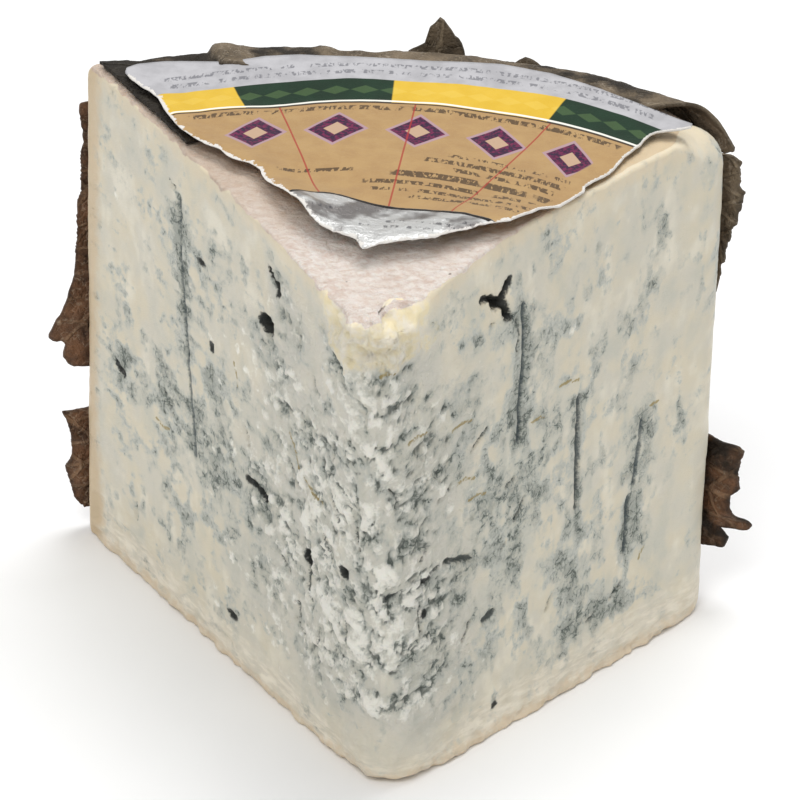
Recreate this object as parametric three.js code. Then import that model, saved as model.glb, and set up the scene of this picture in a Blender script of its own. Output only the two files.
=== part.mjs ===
// A wedge of blue cheese, cut from a drum-shaped cheese that ripens in sycamore leaves.
// Lengths are in millimetres and +Z is up. The wedge stands on its flat base, nose towards -Y,
// with the origin in the middle of its base box. Plan points are given from the drum's axis.
import * as THREE from "three";

// ---- Driving dimensions of the cheese ----
const HEIGHT = 100;
const DRUM_AXIS = new THREE.Vector2(-9, -61);
const NOSE = { bottom: new THREE.Vector2(14.5, 11), top: new THREE.Vector2(10.5, 3.5) };
const LEFT_CORNER = { bottom: new THREE.Vector2(-51.5, 98), top: new THREE.Vector2(-50, 95) };
const RIGHT_CORNER = { bottom: new THREE.Vector2(68.5, 84), top: new THREE.Vector2(69.5, 89) };
const NOSE_BLUNT = { bottom: 13, top: 11 };
const LEFT_ROUND = 4;
const RIGHT_ROUND = 8;
const CUT_EDGE = 0.8;
const RIM_RADIUS = 8;
const BASE_RIM_RADIUS = 5;
const RIGHT_SHOULDER = 11;
const SHOULDER_DROP = 2.5;
const SHOULDER_REACH = { inner: 4, outer: 22 };
const SHOULDER_FADE = { rind: 0.18, cut: 0.14 };
const NOSE_CHIP = 6;
const BASE_NOSE_CHIP = 2.5;
const NOSE_FADE = 0.11;
const TIP_DROP = 4.5;
const TIP_REACH = 46;
const TIP_CURVE = 1.3;

// Unevenness of the surfaces: the size of the lumps in plan and in height, and how far they reach.
// Lumps and crumbs only leave pits, where their noise passes a threshold.
const FACE_WAVE = { wide: 31, tall: 27, depth: 1.1 };
const LUMPS = { wide: 7, tall: 6, from: 0.15, depth: 1.04 };
const CRUMBS = { wide: 3.4, tall: 3, from: 0.2, depth: 0.91 };
const NOSE_CRAG = { wide: 5, tall: 5.5, depth: 1.2 };
const RIND_WAVE = { wide: 9, tall: 9, depth: 0.25 };
const TOP_DENTS = { wide: 13, depth: 0.45 };
const TOP_FUZZ = { wide: 4, depth: 0.25 };
const FOOT_FADE = 6;

// How crumbly the paste is: at its least, how much more at the nose and low on the left cut, and
// the distances from the nose between which it fades.
const CRUMBLY = { least: 0.2, atNose: 0.8, lowLeft: 0.25, near: 4, far: 70 };

// Openings in the paste: distance along the cut from the nose, height, half sizes and depth.
const HOLES = {
  left: [
    { along: 37.8, up: 80, wide: 2.3, tall: 1.8, deep: 4 },
    { along: 25, up: 38, wide: 1.7, tall: 2, deep: 2.5 },
    { along: 42.6, up: 43.3, wide: 3.4, tall: 1.3, deep: 2 },
    { along: 34, up: 90, wide: 1.6, tall: 1.1, deep: 1.6 },
    { along: 52, up: 11, wide: 2.2, tall: 1.1, deep: 1.2 },
  ],
  right: [
    { along: 33, up: 89, wide: 3, tall: 2.1, deep: 4.5 },
    { along: 34.8, up: 86.5, wide: 1.6, tall: 2.4, deep: 4 },
  ],
};
const HOLE_WALL = { inner: 0.45, outer: 1.25 };

// Straight channels left by the piercing needles: distance along the cut, ends and depth.
const NEEDLE_TRACKS = {
  left: [{ along: 69, low: 58, high: 90, deep: 0.8 }],
  right: [
    { along: 39, low: 61, high: 84, deep: 0.7 },
    { along: 55, low: 38, high: 59, deep: 1.2 },
  ],
};
const TRACK_HALF_WIDTH = 0.8;
const TRACK_FADE = 2;

// ---- Driving dimensions of the label ----
const LABEL_CENTRE = new THREE.Vector2(10, 8);
const LABEL_THICKNESS = 0.35;
const LABEL_LIFT = 1;
const LABEL_OVER_RIM = { lift: 1.2, from: 74, to: 86 };
const LABEL_OVER_LEAF = { lift: 0.7, from: -27, to: -18 };
const LABEL_RIPPLE = { wide: 12, depth: 0.2 };
const LABEL_CURL = { lift: 1.6, reach: 14 };
const LABEL_RAGGED = 0.6;
const LABEL_STEPS = { columns: 24, rows: 9 };
// The outline of the torn label, as points [degrees, millimetres] about its centre. The side
// edges start at the inner edge.
const LABEL_EDGE = {
  inner: [[-26, 31.4], [-21.7, 23.9], [-6, 17.3], [11.7, 20.5], [28.4, 26], [39.5, 35]],
  outer: [[-33.3, 92], [-27.5, 94.3], [-19, 91.4], [-6, 91], [8, 91], [22, 89], [35.8, 87.3]],
  left: [[-26, 31.4], [-28.6, 43.8], [-31.5, 56], [-33.8, 68], [-32.6, 80], [-33.3, 92]],
  right: [[39.5, 35], [39.6, 46], [36.7, 57], [35.3, 68], [34, 78], [35.8, 87.3]],
};

// ---- Driving dimensions of the leaves ----
const LEAF_THICKNESS = 0.6;
const LEAF_LAYERS = [0.6, 1.75, 2.9];
const LEAF_WAVE = 0.3;
const RIM_LIFT = 0.5;
const RIND_MEAN_RADIUS = 106;
const FREE_EDGE = { left: -51, right: 68 };
const FLAP_CURL = 0.05;

// Free edges of the leaves beside the cuts, as points [height, millimetres round the rind].
const LEFT_UPPER_EDGE = [
  [34.3, -48], [35, -52.6], [38.2, -54.3], [40.2, -54.2], [40.4, -56.6], [45, -55.4], [52.5, -53],
  [62, -51.9], [80.6, -51.2], [91, -50.4],
];
const LEFT_LOWER_EDGE = [[4.5, -51], [9, -53.2], [13, -53.9], [17, -53], [21, -53.3], [25.7, -54.7]];
const RIGHT_UPPER_EDGE = [[58.7, 65.9], [64.5, 67.4], [72.4, 68.5], [76.4, 69.9], [83, 70.7], [84.1, 69.5]];
const RIGHT_LOWER_EDGE = [
  [10.8, 68], [11, 72.3], [12.9, 72.8], [15.1, 71], [15.4, 75.9], [18.6, 75.4], [22.4, 73.3], [24.2, 74.6],
  [32.1, 74.9], [33.4, 68.7],
];
// Upper edges of the leaf behind the rim and of the fold over it, as points [round, height].
const BACK_LEAF_HEAD = [
  [3, 96.3], [10.4, 99], [13, 104.7], [15.4, 100.7], [22, 97.9], [25.3, 98.7], [30, 97.1], [34, 96],
];
const RIM_LEAF_HEAD = [
  [-47, 100.5], [-40, 102.5], [-31, 110.5], [56, 111], [62, 103], [64, 98.5], [66.2, 95], [68.7, 91.6],
];
const RIM_LEAF_FOOT = [[50, 87], [64, 91]];
const RIM_LEAF_LEAST = 0.4;
const RIM_LEAF_STEPS = { columns: 22, rows: 5 };
const TOP_LEAF = { start: 4, margin: 1.7, length: 36, taper: 0.75, skew: 0.55 };
const TOP_LEAF_WIDTHS = [0, 2.7, 5.7, 9.2];

// ---- Numbers of steps in the meshes ----
const STEPS = { noseHalf: 4, cut: 28, corner: 3, rind: 16, edge: 3, side: 30 };
const TOP_RINGS = [0.9, 0.76, 0.58, 0.38, 0.18];
const BASE_RINGS = [0.6];

const { lerp, clamp, smoothstep, degToRad, radToDeg } = THREE.MathUtils;

// ---- Noise: smooth random values on a lattice, the same on every run ----
function latticeValue(x, y, z) {
  let h = Math.imul(x, 374761393) ^ Math.imul(y, 668265263) ^ Math.imul(z, 1442695041);
  h = Math.imul(h ^ (h >>> 13), 1274126177);
  return ((h ^ (h >>> 16)) >>> 0) / 4294967296;
}

function noise(x, y, z) {
  const cell = [x, y, z].map(Math.floor);
  const [fx, fy, fz] = [x, y, z].map((value, i) => smoothstep(value - cell[i], 0, 1));
  const corner = (i, j, k) => latticeValue(cell[0] + i, cell[1] + j, cell[2] + k);
  const edge = (j, k) => lerp(corner(0, j, k), corner(1, j, k), fx);
  const side = (k) => lerp(edge(0, k), edge(1, k), fy);
  return 2 * lerp(side(0), side(1), fz) - 1;
}

// ---- Plan of the wedge at a share of its height, 0 at the base and 1 at the top ----
function cornersAt(share) {
  const nose = NOSE.bottom.clone().lerp(NOSE.top, share);
  const left = LEFT_CORNER.bottom.clone().lerp(LEFT_CORNER.top, share);
  const right = RIGHT_CORNER.bottom.clone().lerp(RIGHT_CORNER.top, share);
  return { nose, left, right, blunt: lerp(NOSE_BLUNT.bottom, NOSE_BLUNT.top, share) };
}

function azimuthOf(point) {
  return Math.atan2(point.x, point.y);
}

function rindRadius(azimuth, share) {
  const { left, right } = cornersAt(share);
  const t = (azimuth - azimuthOf(left)) / (azimuthOf(right) - azimuthOf(left));
  return lerp(left.length(), right.length(), t);
}

function rindPoint(azimuth, share) {
  const radius = rindRadius(azimuth, share);
  return new THREE.Vector2(radius * Math.sin(azimuth), radius * Math.cos(azimuth));
}

function towards(from, to, distance) {
  return from.clone().add(to.clone().sub(from).setLength(distance));
}

function roundedCorner(start, corner, end, t) {
  return start.clone().lerp(corner, t).lerp(corner.clone().lerp(end, t), t);
}

// A station is a place on the outline: which stretch it is on, and how far along, from 0 to 1.
function planPoint({ stretch, t }, share) {
  const { nose, left, right, blunt } = cornersAt(share);
  const noseLeft = towards(nose, left, blunt);
  const noseRight = towards(nose, right, blunt);
  const leftIn = towards(left, nose, LEFT_ROUND);
  const rightIn = towards(right, nose, RIGHT_ROUND);
  const rindStart = azimuthOf(left) + LEFT_ROUND / left.length();
  const rindEnd = azimuthOf(right) - RIGHT_ROUND / right.length();
  const stretches = {
    noseLeft: () => roundedCorner(noseRight, nose, noseLeft, 0.5 + t / 2),
    leftCut: () => noseLeft.clone().lerp(leftIn, t),
    leftCorner: () => roundedCorner(leftIn, left, rindPoint(rindStart, share), t),
    rind: () => rindPoint(lerp(rindStart, rindEnd, t), share),
    rightCorner: () => roundedCorner(rindPoint(rindEnd, share), right, rightIn, t),
    rightCut: () => rightIn.clone().lerp(noseRight, t),
    noseRight: () => roundedCorner(noseRight, nose, noseLeft, t / 2),
  };
  return stretches[stretch]();
}

// Length along a cut that its stations stand for, from the nose, the same at every height.
function cutSpan(face) {
  const { nose, left, right, blunt } = cornersAt(0.5);
  const ends = { left: nose.distanceTo(left) - LEFT_ROUND, right: nose.distanceTo(right) - RIGHT_ROUND };
  return { start: blunt, end: ends[face] };
}

// The shares of a cut at which it has stations: evenly spaced, and closer over narrow features.
function cutShares(face) {
  const { start, end } = cutSpan(face);
  const even = Array.from({ length: STEPS.cut }, (_, i) => i / STEPS.cut);
  const offsets = [-TRACK_HALF_WIDTH, 0, TRACK_HALF_WIDTH];
  const narrow = NEEDLE_TRACKS[face].flatMap(({ along }) => offsets.map((offset) => along + offset));
  const middles = [...narrow, HOLES[face][0].along].map((along) => (along - start) / (end - start));
  const shares = [...even, ...middles].sort((a, b) => a - b);
  return face === "left" ? shares : [0, ...shares.slice(1).map((t) => 1 - t).reverse()];
}

// The stations round the outline, clockwise from above: up the left cut, round the rind and back.
function outlineStations() {
  const evenly = (count) => Array.from({ length: count }, (_, i) => i / count);
  const stretches = {
    noseLeft: evenly(STEPS.noseHalf),
    leftCut: cutShares("left"),
    leftCorner: evenly(STEPS.corner),
    rind: evenly(STEPS.rind),
    rightCorner: evenly(STEPS.corner),
    rightCut: cutShares("right"),
    noseRight: evenly(STEPS.noseHalf),
  };
  return Object.entries(stretches).flatMap(([stretch, shares]) => shares.map((t) => ({ stretch, t })));
}

// 1 on the rind, 0 on the cuts, easing over at the corners.
function rindShare({ stretch, t }) {
  const shares = { leftCorner: smoothstep(t, 0, 1), rind: 1, rightCorner: 1 - smoothstep(t, 0, 1) };
  return shares[stretch] ?? 0;
}

// 1 at the very nose, a half where the cuts start and 0 from a little way along them.
function noseShare({ stretch, t }) {
  const shares = {
    noseLeft: 1 - t / 2,
    noseRight: (1 + t) / 2,
    leftCut: (1 - clamp(t / NOSE_FADE, 0, 1)) / 2,
    rightCut: (1 - clamp((1 - t) / NOSE_FADE, 0, 1)) / 2,
  };
  return shares[stretch] ?? 0;
}

// 1 at the right corner, 0 from a little way along the rind and the right cut.
function rightCornerShare({ stretch, t }) {
  const shares = {
    rightCorner: 1,
    rind: smoothstep(t, 1 - SHOULDER_FADE.rind, 1),
    rightCut: 1 - smoothstep(t, 0, SHOULDER_FADE.cut),
  };
  return shares[stretch] ?? 0;
}

// ---- Top face: level over the drum, sinking to the nose and over the right shoulder ----
function tipLevel(point) {
  const sink = TIP_DROP * (1 - smoothstep(point.distanceTo(NOSE.top), 0, TIP_REACH)) ** TIP_CURVE;
  const dents = TOP_DENTS.depth * noise(point.x / TOP_DENTS.wide, point.y / TOP_DENTS.wide, 3.5);
  return HEIGHT - sink + dents;
}

function topHeight(point) {
  const off = point.distanceTo(RIGHT_CORNER.top);
  return tipLevel(point) - SHOULDER_DROP * (1 - smoothstep(off, SHOULDER_REACH.inner, SHOULDER_REACH.outer));
}

// ---- Relief of the cut faces ----
function lumpNoise(lump, place, up, seed = 0) {
  return noise(place.x / lump.wide + seed, place.y / lump.wide, up / lump.tall);
}

function holeDepth(face, along, up) {
  return (HOLES[face] ?? []).reduce((depth, hole) => {
    const off = Math.hypot((along - hole.along) / hole.wide, (up - hole.up) / hole.tall);
    return depth + hole.deep * (1 - smoothstep(off, HOLE_WALL.inner, HOLE_WALL.outer));
  }, 0);
}

function trackDepth(face, along, up) {
  return (NEEDLE_TRACKS[face] ?? []).reduce((depth, track) => {
    const across = 1 - smoothstep(Math.abs(along - track.along), 0, TRACK_HALF_WIDTH);
    const aboveFoot = smoothstep(up, track.low - TRACK_FADE, track.low + TRACK_FADE);
    const belowHead = 1 - smoothstep(up, track.high - TRACK_FADE, track.high + TRACK_FADE);
    return depth + track.deep * across * aboveFoot * belowHead;
  }, 0);
}

function crumbliness(face, along, up) {
  const nearNose = 1 - smoothstep(along, CRUMBLY.near, CRUMBLY.far);
  const low = face === "left" ? CRUMBLY.lowLeft * (1 - up / HEIGHT) : 0;
  return clamp(CRUMBLY.least + CRUMBLY.atNose * nearNose + low, 0, 1);
}

function cutRelief(face, along, up, place) {
  const wave = FACE_WAVE.depth * lumpNoise(FACE_WAVE, place, up);
  const lumps = LUMPS.depth * Math.max(0, -lumpNoise(LUMPS, place, up) - LUMPS.from);
  const crumbs = CRUMBS.depth * Math.max(0, lumpNoise(CRUMBS, place, up, 40) - CRUMBS.from);
  const pits = crumbliness(face, along, up) * (lumps + crumbs);
  return wave - pits - holeDepth(face, along, up) - trackDepth(face, along, up);
}

// Distance of a station from the nose, measured along its cut.
function alongCut({ stretch, t }) {
  const left = cutSpan("left");
  const right = cutSpan("right");
  const distances = {
    leftCut: lerp(left.start, left.end, t),
    rightCut: lerp(right.end, right.start, t),
    leftCorner: left.end,
    rightCorner: right.end,
  };
  return distances[stretch] ?? 0;
}

function sideRelief(station, place, up) {
  const fade = smoothstep(up, 0, FOOT_FADE);
  if (rindShare(station) > 0) {
    return fade * RIND_WAVE.depth * lumpNoise(RIND_WAVE, place, up);
  }
  const face = { leftCut: "left", rightCut: "right" }[station.stretch] ?? "nose";
  const along = alongCut(station);
  const crag = NOSE_CRAG.depth * noseShare(station) * lumpNoise(NOSE_CRAG, place, up);
  return fade * (cutRelief(face, along, up, place) + crag);
}

// ---- The cheese: rings from the base up its side and in over its top ----
function edgeRadii(station) {
  const nose = noseShare(station);
  const rind = rindShare(station);
  const top = lerp(CUT_EDGE, RIM_RADIUS, rind) + (NOSE_CHIP - CUT_EDGE) * nose;
  const shoulder = ((RIGHT_SHOULDER - top) / 2) * rightCornerShare(station);
  return {
    base: lerp(CUT_EDGE, BASE_RIM_RADIUS, rind) + BASE_NOSE_CHIP * nose,
    top: top + Math.max(0, shoulder),
  };
}

// One point of the side at row 0 to 2 * edge + side, rounded in at its foot and its top edge.
function sidePoint(stations, index, row) {
  const station = stations[index];
  const radii = edgeRadii(station);
  const top = topHeight(planPoint(station, 1));
  const lastRow = 2 * STEPS.edge + STEPS.side;
  let up;
  let inset = 0;
  if (row < STEPS.edge) {
    const turn = (Math.PI / 2) * (row / STEPS.edge);
    up = radii.base * (1 - Math.cos(turn));
    inset = radii.base * (1 - Math.sin(turn));
  } else if (row > lastRow - STEPS.edge) {
    const turn = (Math.PI / 2) * ((row - lastRow + STEPS.edge) / STEPS.edge);
    up = top - radii.top * (1 - Math.sin(turn));
    inset = radii.top * (1 - Math.cos(turn));
  } else {
    up = lerp(radii.base, top - radii.top, (row - STEPS.edge) / STEPS.side);
  }
  const share = up / HEIGHT;
  const place = planPoint(station, share);
  const before = planPoint(stations.at(index - 1), share);
  const after = planPoint(stations[(index + 1) % stations.length], share);
  const outward = new THREE.Vector2(before.y - after.y, after.x - before.x).normalize();
  place.addScaledVector(outward, sideRelief(station, place, up) - inset);
  return new THREE.Vector3(place.x, place.y, up);
}

function cheeseRings() {
  const stations = outlineStations();
  const rows = Array.from({ length: 2 * STEPS.edge + STEPS.side + 1 }, (_, row) => row);
  const side = rows.map((row) => stations.map((_, index) => sidePoint(stations, index, row)));
  const middle = side[0].reduce((sum, point) => sum.add(point), new THREE.Vector3());
  middle.divideScalar(side[0].length).setZ(0);
  const base = BASE_RINGS.toReversed().map((scale) =>
    side[0].map((rim) => middle.clone().lerp(rim, scale)),
  );
  const cover = TOP_RINGS.map((scale) =>
    side.at(-1).map((rim) => {
      const plan = new THREE.Vector2(lerp(middle.x, rim.x, scale), lerp(middle.y, rim.y, scale));
      const fuzz = TOP_FUZZ.depth * noise(plan.x / TOP_FUZZ.wide, plan.y / TOP_FUZZ.wide, 9.5);
      return new THREE.Vector3(plan.x, plan.y, topHeight(plan) + fuzz);
    }),
  );
  const crown = new THREE.Vector3(middle.x, middle.y, topHeight(new THREE.Vector2(middle.x, middle.y)));
  return { rings: [...base, ...side, ...cover], first: middle, last: crown };
}

// A closed skin over rings of equal length, shut by a point at each end.
function skinOverRings({ rings, first, last }) {
  const count = rings[0].length;
  const points = [first, ...rings.flat(), last];
  const faces = [];
  const at = (ring, i) => 1 + ring * count + (i % count);
  for (let i = 0; i < count; i += 1) {
    faces.push(0, at(0, i), at(0, i + 1));
    for (let ring = 0; ring + 1 < rings.length; ring += 1) {
      faces.push(at(ring, i), at(ring + 1, i), at(ring + 1, i + 1));
      faces.push(at(ring, i), at(ring + 1, i + 1), at(ring, i + 1));
    }
    faces.push(points.length - 1, at(rings.length - 1, i + 1), at(rings.length - 1, i));
  }
  return geometryOf(points, faces);
}

function geometryOf(points, faces) {
  const geometry = new THREE.BufferGeometry();
  const place = (point) => [point.x + DRUM_AXIS.x, point.y + DRUM_AXIS.y, point.z];
  geometry.setAttribute("position", new THREE.Float32BufferAttribute(points.flatMap(place), 3));
  geometry.setIndex(faces);
  geometry.computeVertexNormals();
  return geometry;
}

// ---- Thin sheets: a grid of points, or rings of them round a centre ----
// Every point of a sheet has a lower and an upper place.
function sheetFromGrid(grid) {
  const columns = grid[0].length;
  const flat = grid.flat();
  const lowerCount = flat.length;
  const points = [...flat.map((pair) => pair.lower), ...flat.map((pair) => pair.upper)];
  const faces = [];
  const at = (row, column) => row * columns + column;
  const both = (a, b, c) => {
    faces.push(a, c, b);
    faces.push(a + lowerCount, b + lowerCount, c + lowerCount);
  };
  for (let row = 0; row + 1 < grid.length; row += 1) {
    for (let column = 0; column + 1 < columns; column += 1) {
      both(at(row, column), at(row, column + 1), at(row + 1, column + 1));
      both(at(row, column), at(row + 1, column + 1), at(row + 1, column));
    }
  }
  const lastRow = grid.length - 1;
  const border = [];
  for (let column = 0; column < columns - 1; column += 1) border.push(at(0, column));
  for (let row = 0; row < lastRow; row += 1) border.push(at(row, columns - 1));
  for (let column = columns - 1; column > 0; column -= 1) border.push(at(lastRow, column));
  for (let row = lastRow; row > 0; row -= 1) border.push(at(row, 0));
  addEdgeBand(faces, border, lowerCount);
  return geometryOf(points, faces);
}

function addEdgeBand(faces, border, lowerCount) {
  border.forEach((from, i) => {
    const to = border[(i + 1) % border.length];
    faces.push(from, to, to + lowerCount);
    faces.push(from, to + lowerCount, from + lowerCount);
  });
}

function sheetFromDisc(centre, rings) {
  const count = rings[0].length;
  const flat = [centre, ...rings.flat()];
  const lowerCount = flat.length;
  const points = [...flat.map((pair) => pair.lower), ...flat.map((pair) => pair.upper)];
  const faces = [];
  const at = (ring, i) => 1 + ring * count + (i % count);
  const both = (a, b, c) => {
    faces.push(a, c, b);
    faces.push(a + lowerCount, b + lowerCount, c + lowerCount);
  };
  for (let i = 0; i < count; i += 1) {
    both(0, at(0, i), at(0, i + 1));
    for (let ring = 0; ring + 1 < rings.length; ring += 1) {
      both(at(ring, i), at(ring + 1, i), at(ring + 1, i + 1));
      both(at(ring, i), at(ring + 1, i + 1), at(ring, i + 1));
    }
  }
  const border = Array.from({ length: count }, (_, i) => at(rings.length - 1, i));
  addEdgeBand(faces, border, lowerCount);
  return geometryOf(points, faces);
}

// ---- The label: a torn sector of a round paper sheet lying over the top ----
function alongLine(points, share) {
  const at = share * (points.length - 1);
  const index = Math.min(Math.floor(at), points.length - 2);
  return points[index].map((value, i) => lerp(value, points[index + 1][i], at - index));
}

// The place in the label at shares of its width and of its depth, as [degrees, millimetres].
function labelPlace(u, v) {
  const { left, right } = LABEL_EDGE;
  const [low, high] = [LABEL_EDGE.inner, LABEL_EDGE.outer].map((edge) => alongLine(edge, u));
  const [start, end] = [left, right].map((edge) => alongLine(edge, v));
  return [0, 1].map((i) => {
    const ruled = lerp(low[i], high[i], v) + lerp(start[i], end[i], u);
    return ruled - lerp(lerp(left[0][i], right[0][i], u), lerp(left.at(-1)[i], right.at(-1)[i], u), v);
  });
}

function labelPair(degrees, radius, fromTear) {
  const azimuth = degToRad(degrees);
  const x = LABEL_CENTRE.x + radius * Math.sin(azimuth);
  const y = LABEL_CENTRE.y + radius * Math.cos(azimuth);
  const overLeaf = LABEL_OVER_LEAF.lift * (1 - smoothstep(degrees, LABEL_OVER_LEAF.from, LABEL_OVER_LEAF.to));
  const overRim = LABEL_OVER_RIM.lift * smoothstep(radius, LABEL_OVER_RIM.from, LABEL_OVER_RIM.to);
  const ripple = LABEL_RIPPLE.depth * noise(x / LABEL_RIPPLE.wide, y / LABEL_RIPPLE.wide, 21.5);
  const curl = LABEL_CURL.lift * (1 - smoothstep(fromTear, 0, LABEL_CURL.reach));
  const bottom = tipLevel(new THREE.Vector2(x, y)) + LABEL_LIFT + Math.max(overLeaf, overRim) + ripple + curl;
  return {
    lower: new THREE.Vector3(x, y, bottom),
    upper: new THREE.Vector3(x, y, bottom + LABEL_THICKNESS),
  };
}

function makeLabel() {
  const { columns, rows } = LABEL_STEPS;
  const grid = [];
  for (let row = 0; row <= rows; row += 1) {
    const line = [];
    for (let column = 0; column <= columns; column += 1) {
      const [degrees, radius] = labelPlace(column / columns, row / rows);
      const fromTear = radius - labelPlace(column / columns, 0)[1];
      const ragged = LABEL_RAGGED * noise(column * 0.8, row * 0.9, 7.5);
      const aside = column === 0 || column === columns ? ragged : 0;
      const inwards = row === 0 ? ragged : 0;
      line.push(labelPair(degrees + aside, radius + inwards, fromTear));
    }
    grid.push(line);
  }
  return sheetFromGrid(grid);
}

// ---- Leaves ----
// A wrap place is (around, height): millimetres round the rind from its middle line, and
// millimetres up the side, which past the rim run in over the top.
function wrapPoint(around, height, off, upright) {
  const azimuth = around / RIND_MEAN_RADIUS;
  const share = clamp(height / HEIGHT, 0, 1);
  const radius = rindRadius(azimuth, share);
  const rimStart = HEIGHT - RIM_RADIUS;
  const rimLength = (RIM_RADIUS * Math.PI) / 2;
  let out = radius + off;
  let z = height;
  if (!upright && height > rimStart) {
    const turn = Math.min(1, (height - rimStart) / rimLength) * (Math.PI / 2);
    const past = Math.max(0, height - rimStart - rimLength);
    out = radius - RIM_RADIUS + (RIM_RADIUS + off) * Math.cos(turn) - past;
    z = rimStart + (RIM_RADIUS + off) * Math.sin(turn);
  }
  return new THREE.Vector3(out * Math.sin(azimuth), out * Math.cos(azimuth), z);
}

function wrapPair(around, height, off, upright = false) {
  const wave = LEAF_WAVE * noise(around / 14, height / 14, 33.5);
  const lift = RIM_LIFT * (1 - smoothstep(Math.abs(height - HEIGHT + RIM_RADIUS / 2), 3, 14));
  const base = off + wave + lift;
  return {
    lower: wrapPoint(around, height, base, upright),
    upper: wrapPoint(around, height, base + LEAF_THICKNESS, upright),
  };
}

// Radius of a five-lobed leaf at an angle from its midrib, in shares of its length.
const LOBES = [
  { angle: 0, length: 1, width: 20 },
  { angle: 50, length: 0.9, width: 24 },
  { angle: -50, length: 0.9, width: 24 },
  { angle: 106, length: 0.66, width: 30 },
  { angle: -106, length: 0.66, width: 30 },
];
const LEAF_WAIST = 0.5;
const LEAF_SPREAD = 1.15;
const LEAF_RAYS = 40;
const RAY_CROWDING = 0.75;
const TRIM_STEP = 0.985;

function leafRadius(angle, seed) {
  const degrees = radToDeg(angle);
  const turnTo = (other) => Math.abs(((degrees - other + 540) % 360) - 180);
  const lobes = LOBES.map((lobe) => lobe.length * Math.exp(-((turnTo(lobe.angle) / lobe.width) ** 1.4)));
  return Math.max(LEAF_WAIST, ...lobes) * (1 + 0.07 * noise(degrees / 11, seed, 14.5));
}

// The second number of a list of points [at, value], by straight lines between them.
function valueAt(points, at) {
  const next = points.findIndex(([start]) => start > at);
  if (next <= 0) return points.at(next)[1];
  const [[before, from], [after, to]] = points.slice(next - 1, next + 1);
  return lerp(from, to, (at - before) / (after - before));
}

// A lobed leaf laid on the rind, trimmed where the knife cut it, its free flap curling outwards.
// Its rays are closest together towards its free side, which is given in degrees from straight up.
function makeLobedLeaf(leaf) {
  const { around, height, length, midrib, free, layer, seed, within, rings = 4, upright = false } = leaf;
  const parts = Array.from({ length: rings }, (_, i) => ((i + 1) / rings) ** 0.85);
  const rays = Array.from({ length: LEAF_RAYS }, (_, i) => {
    const turn = (i / LEAF_RAYS) * 2 * Math.PI;
    const angle = degToRad(free) + turn - RAY_CROWDING * Math.sin(turn);
    const a = Math.sin(angle);
    const h = Math.cos(angle);
    const edgeward = LEAF_SPREAD * smoothstep(a * Math.sign(around), -0.1, 0.6);
    let radius = length * Math.max(leafRadius(angle - degToRad(midrib), seed), edgeward);
    while (!within(around + a * radius, height + h * radius)) radius *= TRIM_STEP;
    return { a: a * radius, h: h * radius };
  });
  const pairAt = (ray, part) => {
    const a = around + ray.a * part;
    const past = Math.max(0, a - FREE_EDGE.right, FREE_EDGE.left - a);
    return wrapPair(a, height + ray.h * part, LEAF_LAYERS[layer] + FLAP_CURL * past ** 2, upright);
  };
  const centre = wrapPair(around, height, LEAF_LAYERS[layer], upright);
  return sheetFromDisc(centre, parts.map((part) => rays.map((ray) => pairAt(ray, part))));
}

// The fold of leaf caught between the rim and the label, ragged along both edges.
function makeRimLeaf() {
  const { columns, rows } = RIM_LEAF_STEPS;
  const span = { left: RIM_LEAF_HEAD[0][0], right: RIM_LEAF_HEAD.at(-1)[0] };
  const grid = [];
  for (let row = 0; row <= rows; row += 1) {
    const line = [];
    for (let column = 0; column <= columns; column += 1) {
      const around = lerp(span.left, span.right, column / columns);
      const ragged = noise(around / 7, row, 50.5);
      const head = valueAt(RIM_LEAF_HEAD, around);
      const foot = Math.min(valueAt(RIM_LEAF_FOOT, around) + ragged, head - RIM_LEAF_LEAST);
      line.push(wrapPair(around, lerp(head, foot, row / rows), LEAF_LAYERS[0]));
    }
    grid.push(line);
  }
  return sheetFromGrid(grid);
}

// The dark leaf that lies on the top beside the left cut, partly under the label.
function makeTopLeaf() {
  const inward = NOSE.top.clone().sub(LEFT_CORNER.top).normalize();
  const across = new THREE.Vector2(-inward.y, inward.x);
  const start = towards(LEFT_CORNER.top, NOSE.top, TOP_LEAF.start);
  const columns = 12;
  return sheetFromGrid(
    TOP_LEAF_WIDTHS.map((width) =>
      Array.from({ length: columns + 1 }, (_, column) => {
        const t = column / columns;
        const ragged = 1 + 0.2 * noise(t * 9, width, 61.5);
        const over = TOP_LEAF.margin + width * (1 - TOP_LEAF.taper * t ** 2) * ragged;
        const run = TOP_LEAF.length * t + TOP_LEAF.skew * width * (1 - t);
        const plan = start.clone().addScaledVector(inward, run).addScaledVector(across, over);
        const crease = 0.1 * noise(plan.x / 5, plan.y / 5, 71.5);
        const bottom = topHeight(plan) + LEAF_LAYERS[0] + crease;
        return {
          lower: new THREE.Vector3(plan.x, plan.y, bottom),
          upper: new THREE.Vector3(plan.x, plan.y, bottom + LEAF_THICKNESS),
        };
      }),
    ),
  );
}

// ---- Materials ----
function material(colour, roughness) {
  return new THREE.MeshStandardMaterial({ color: colour, roughness, metalness: 0 });
}

function addPiece(group, name, geometry, look) {
  const mesh = new THREE.Mesh(geometry, look);
  mesh.name = name;
  group.add(mesh);
}

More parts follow.
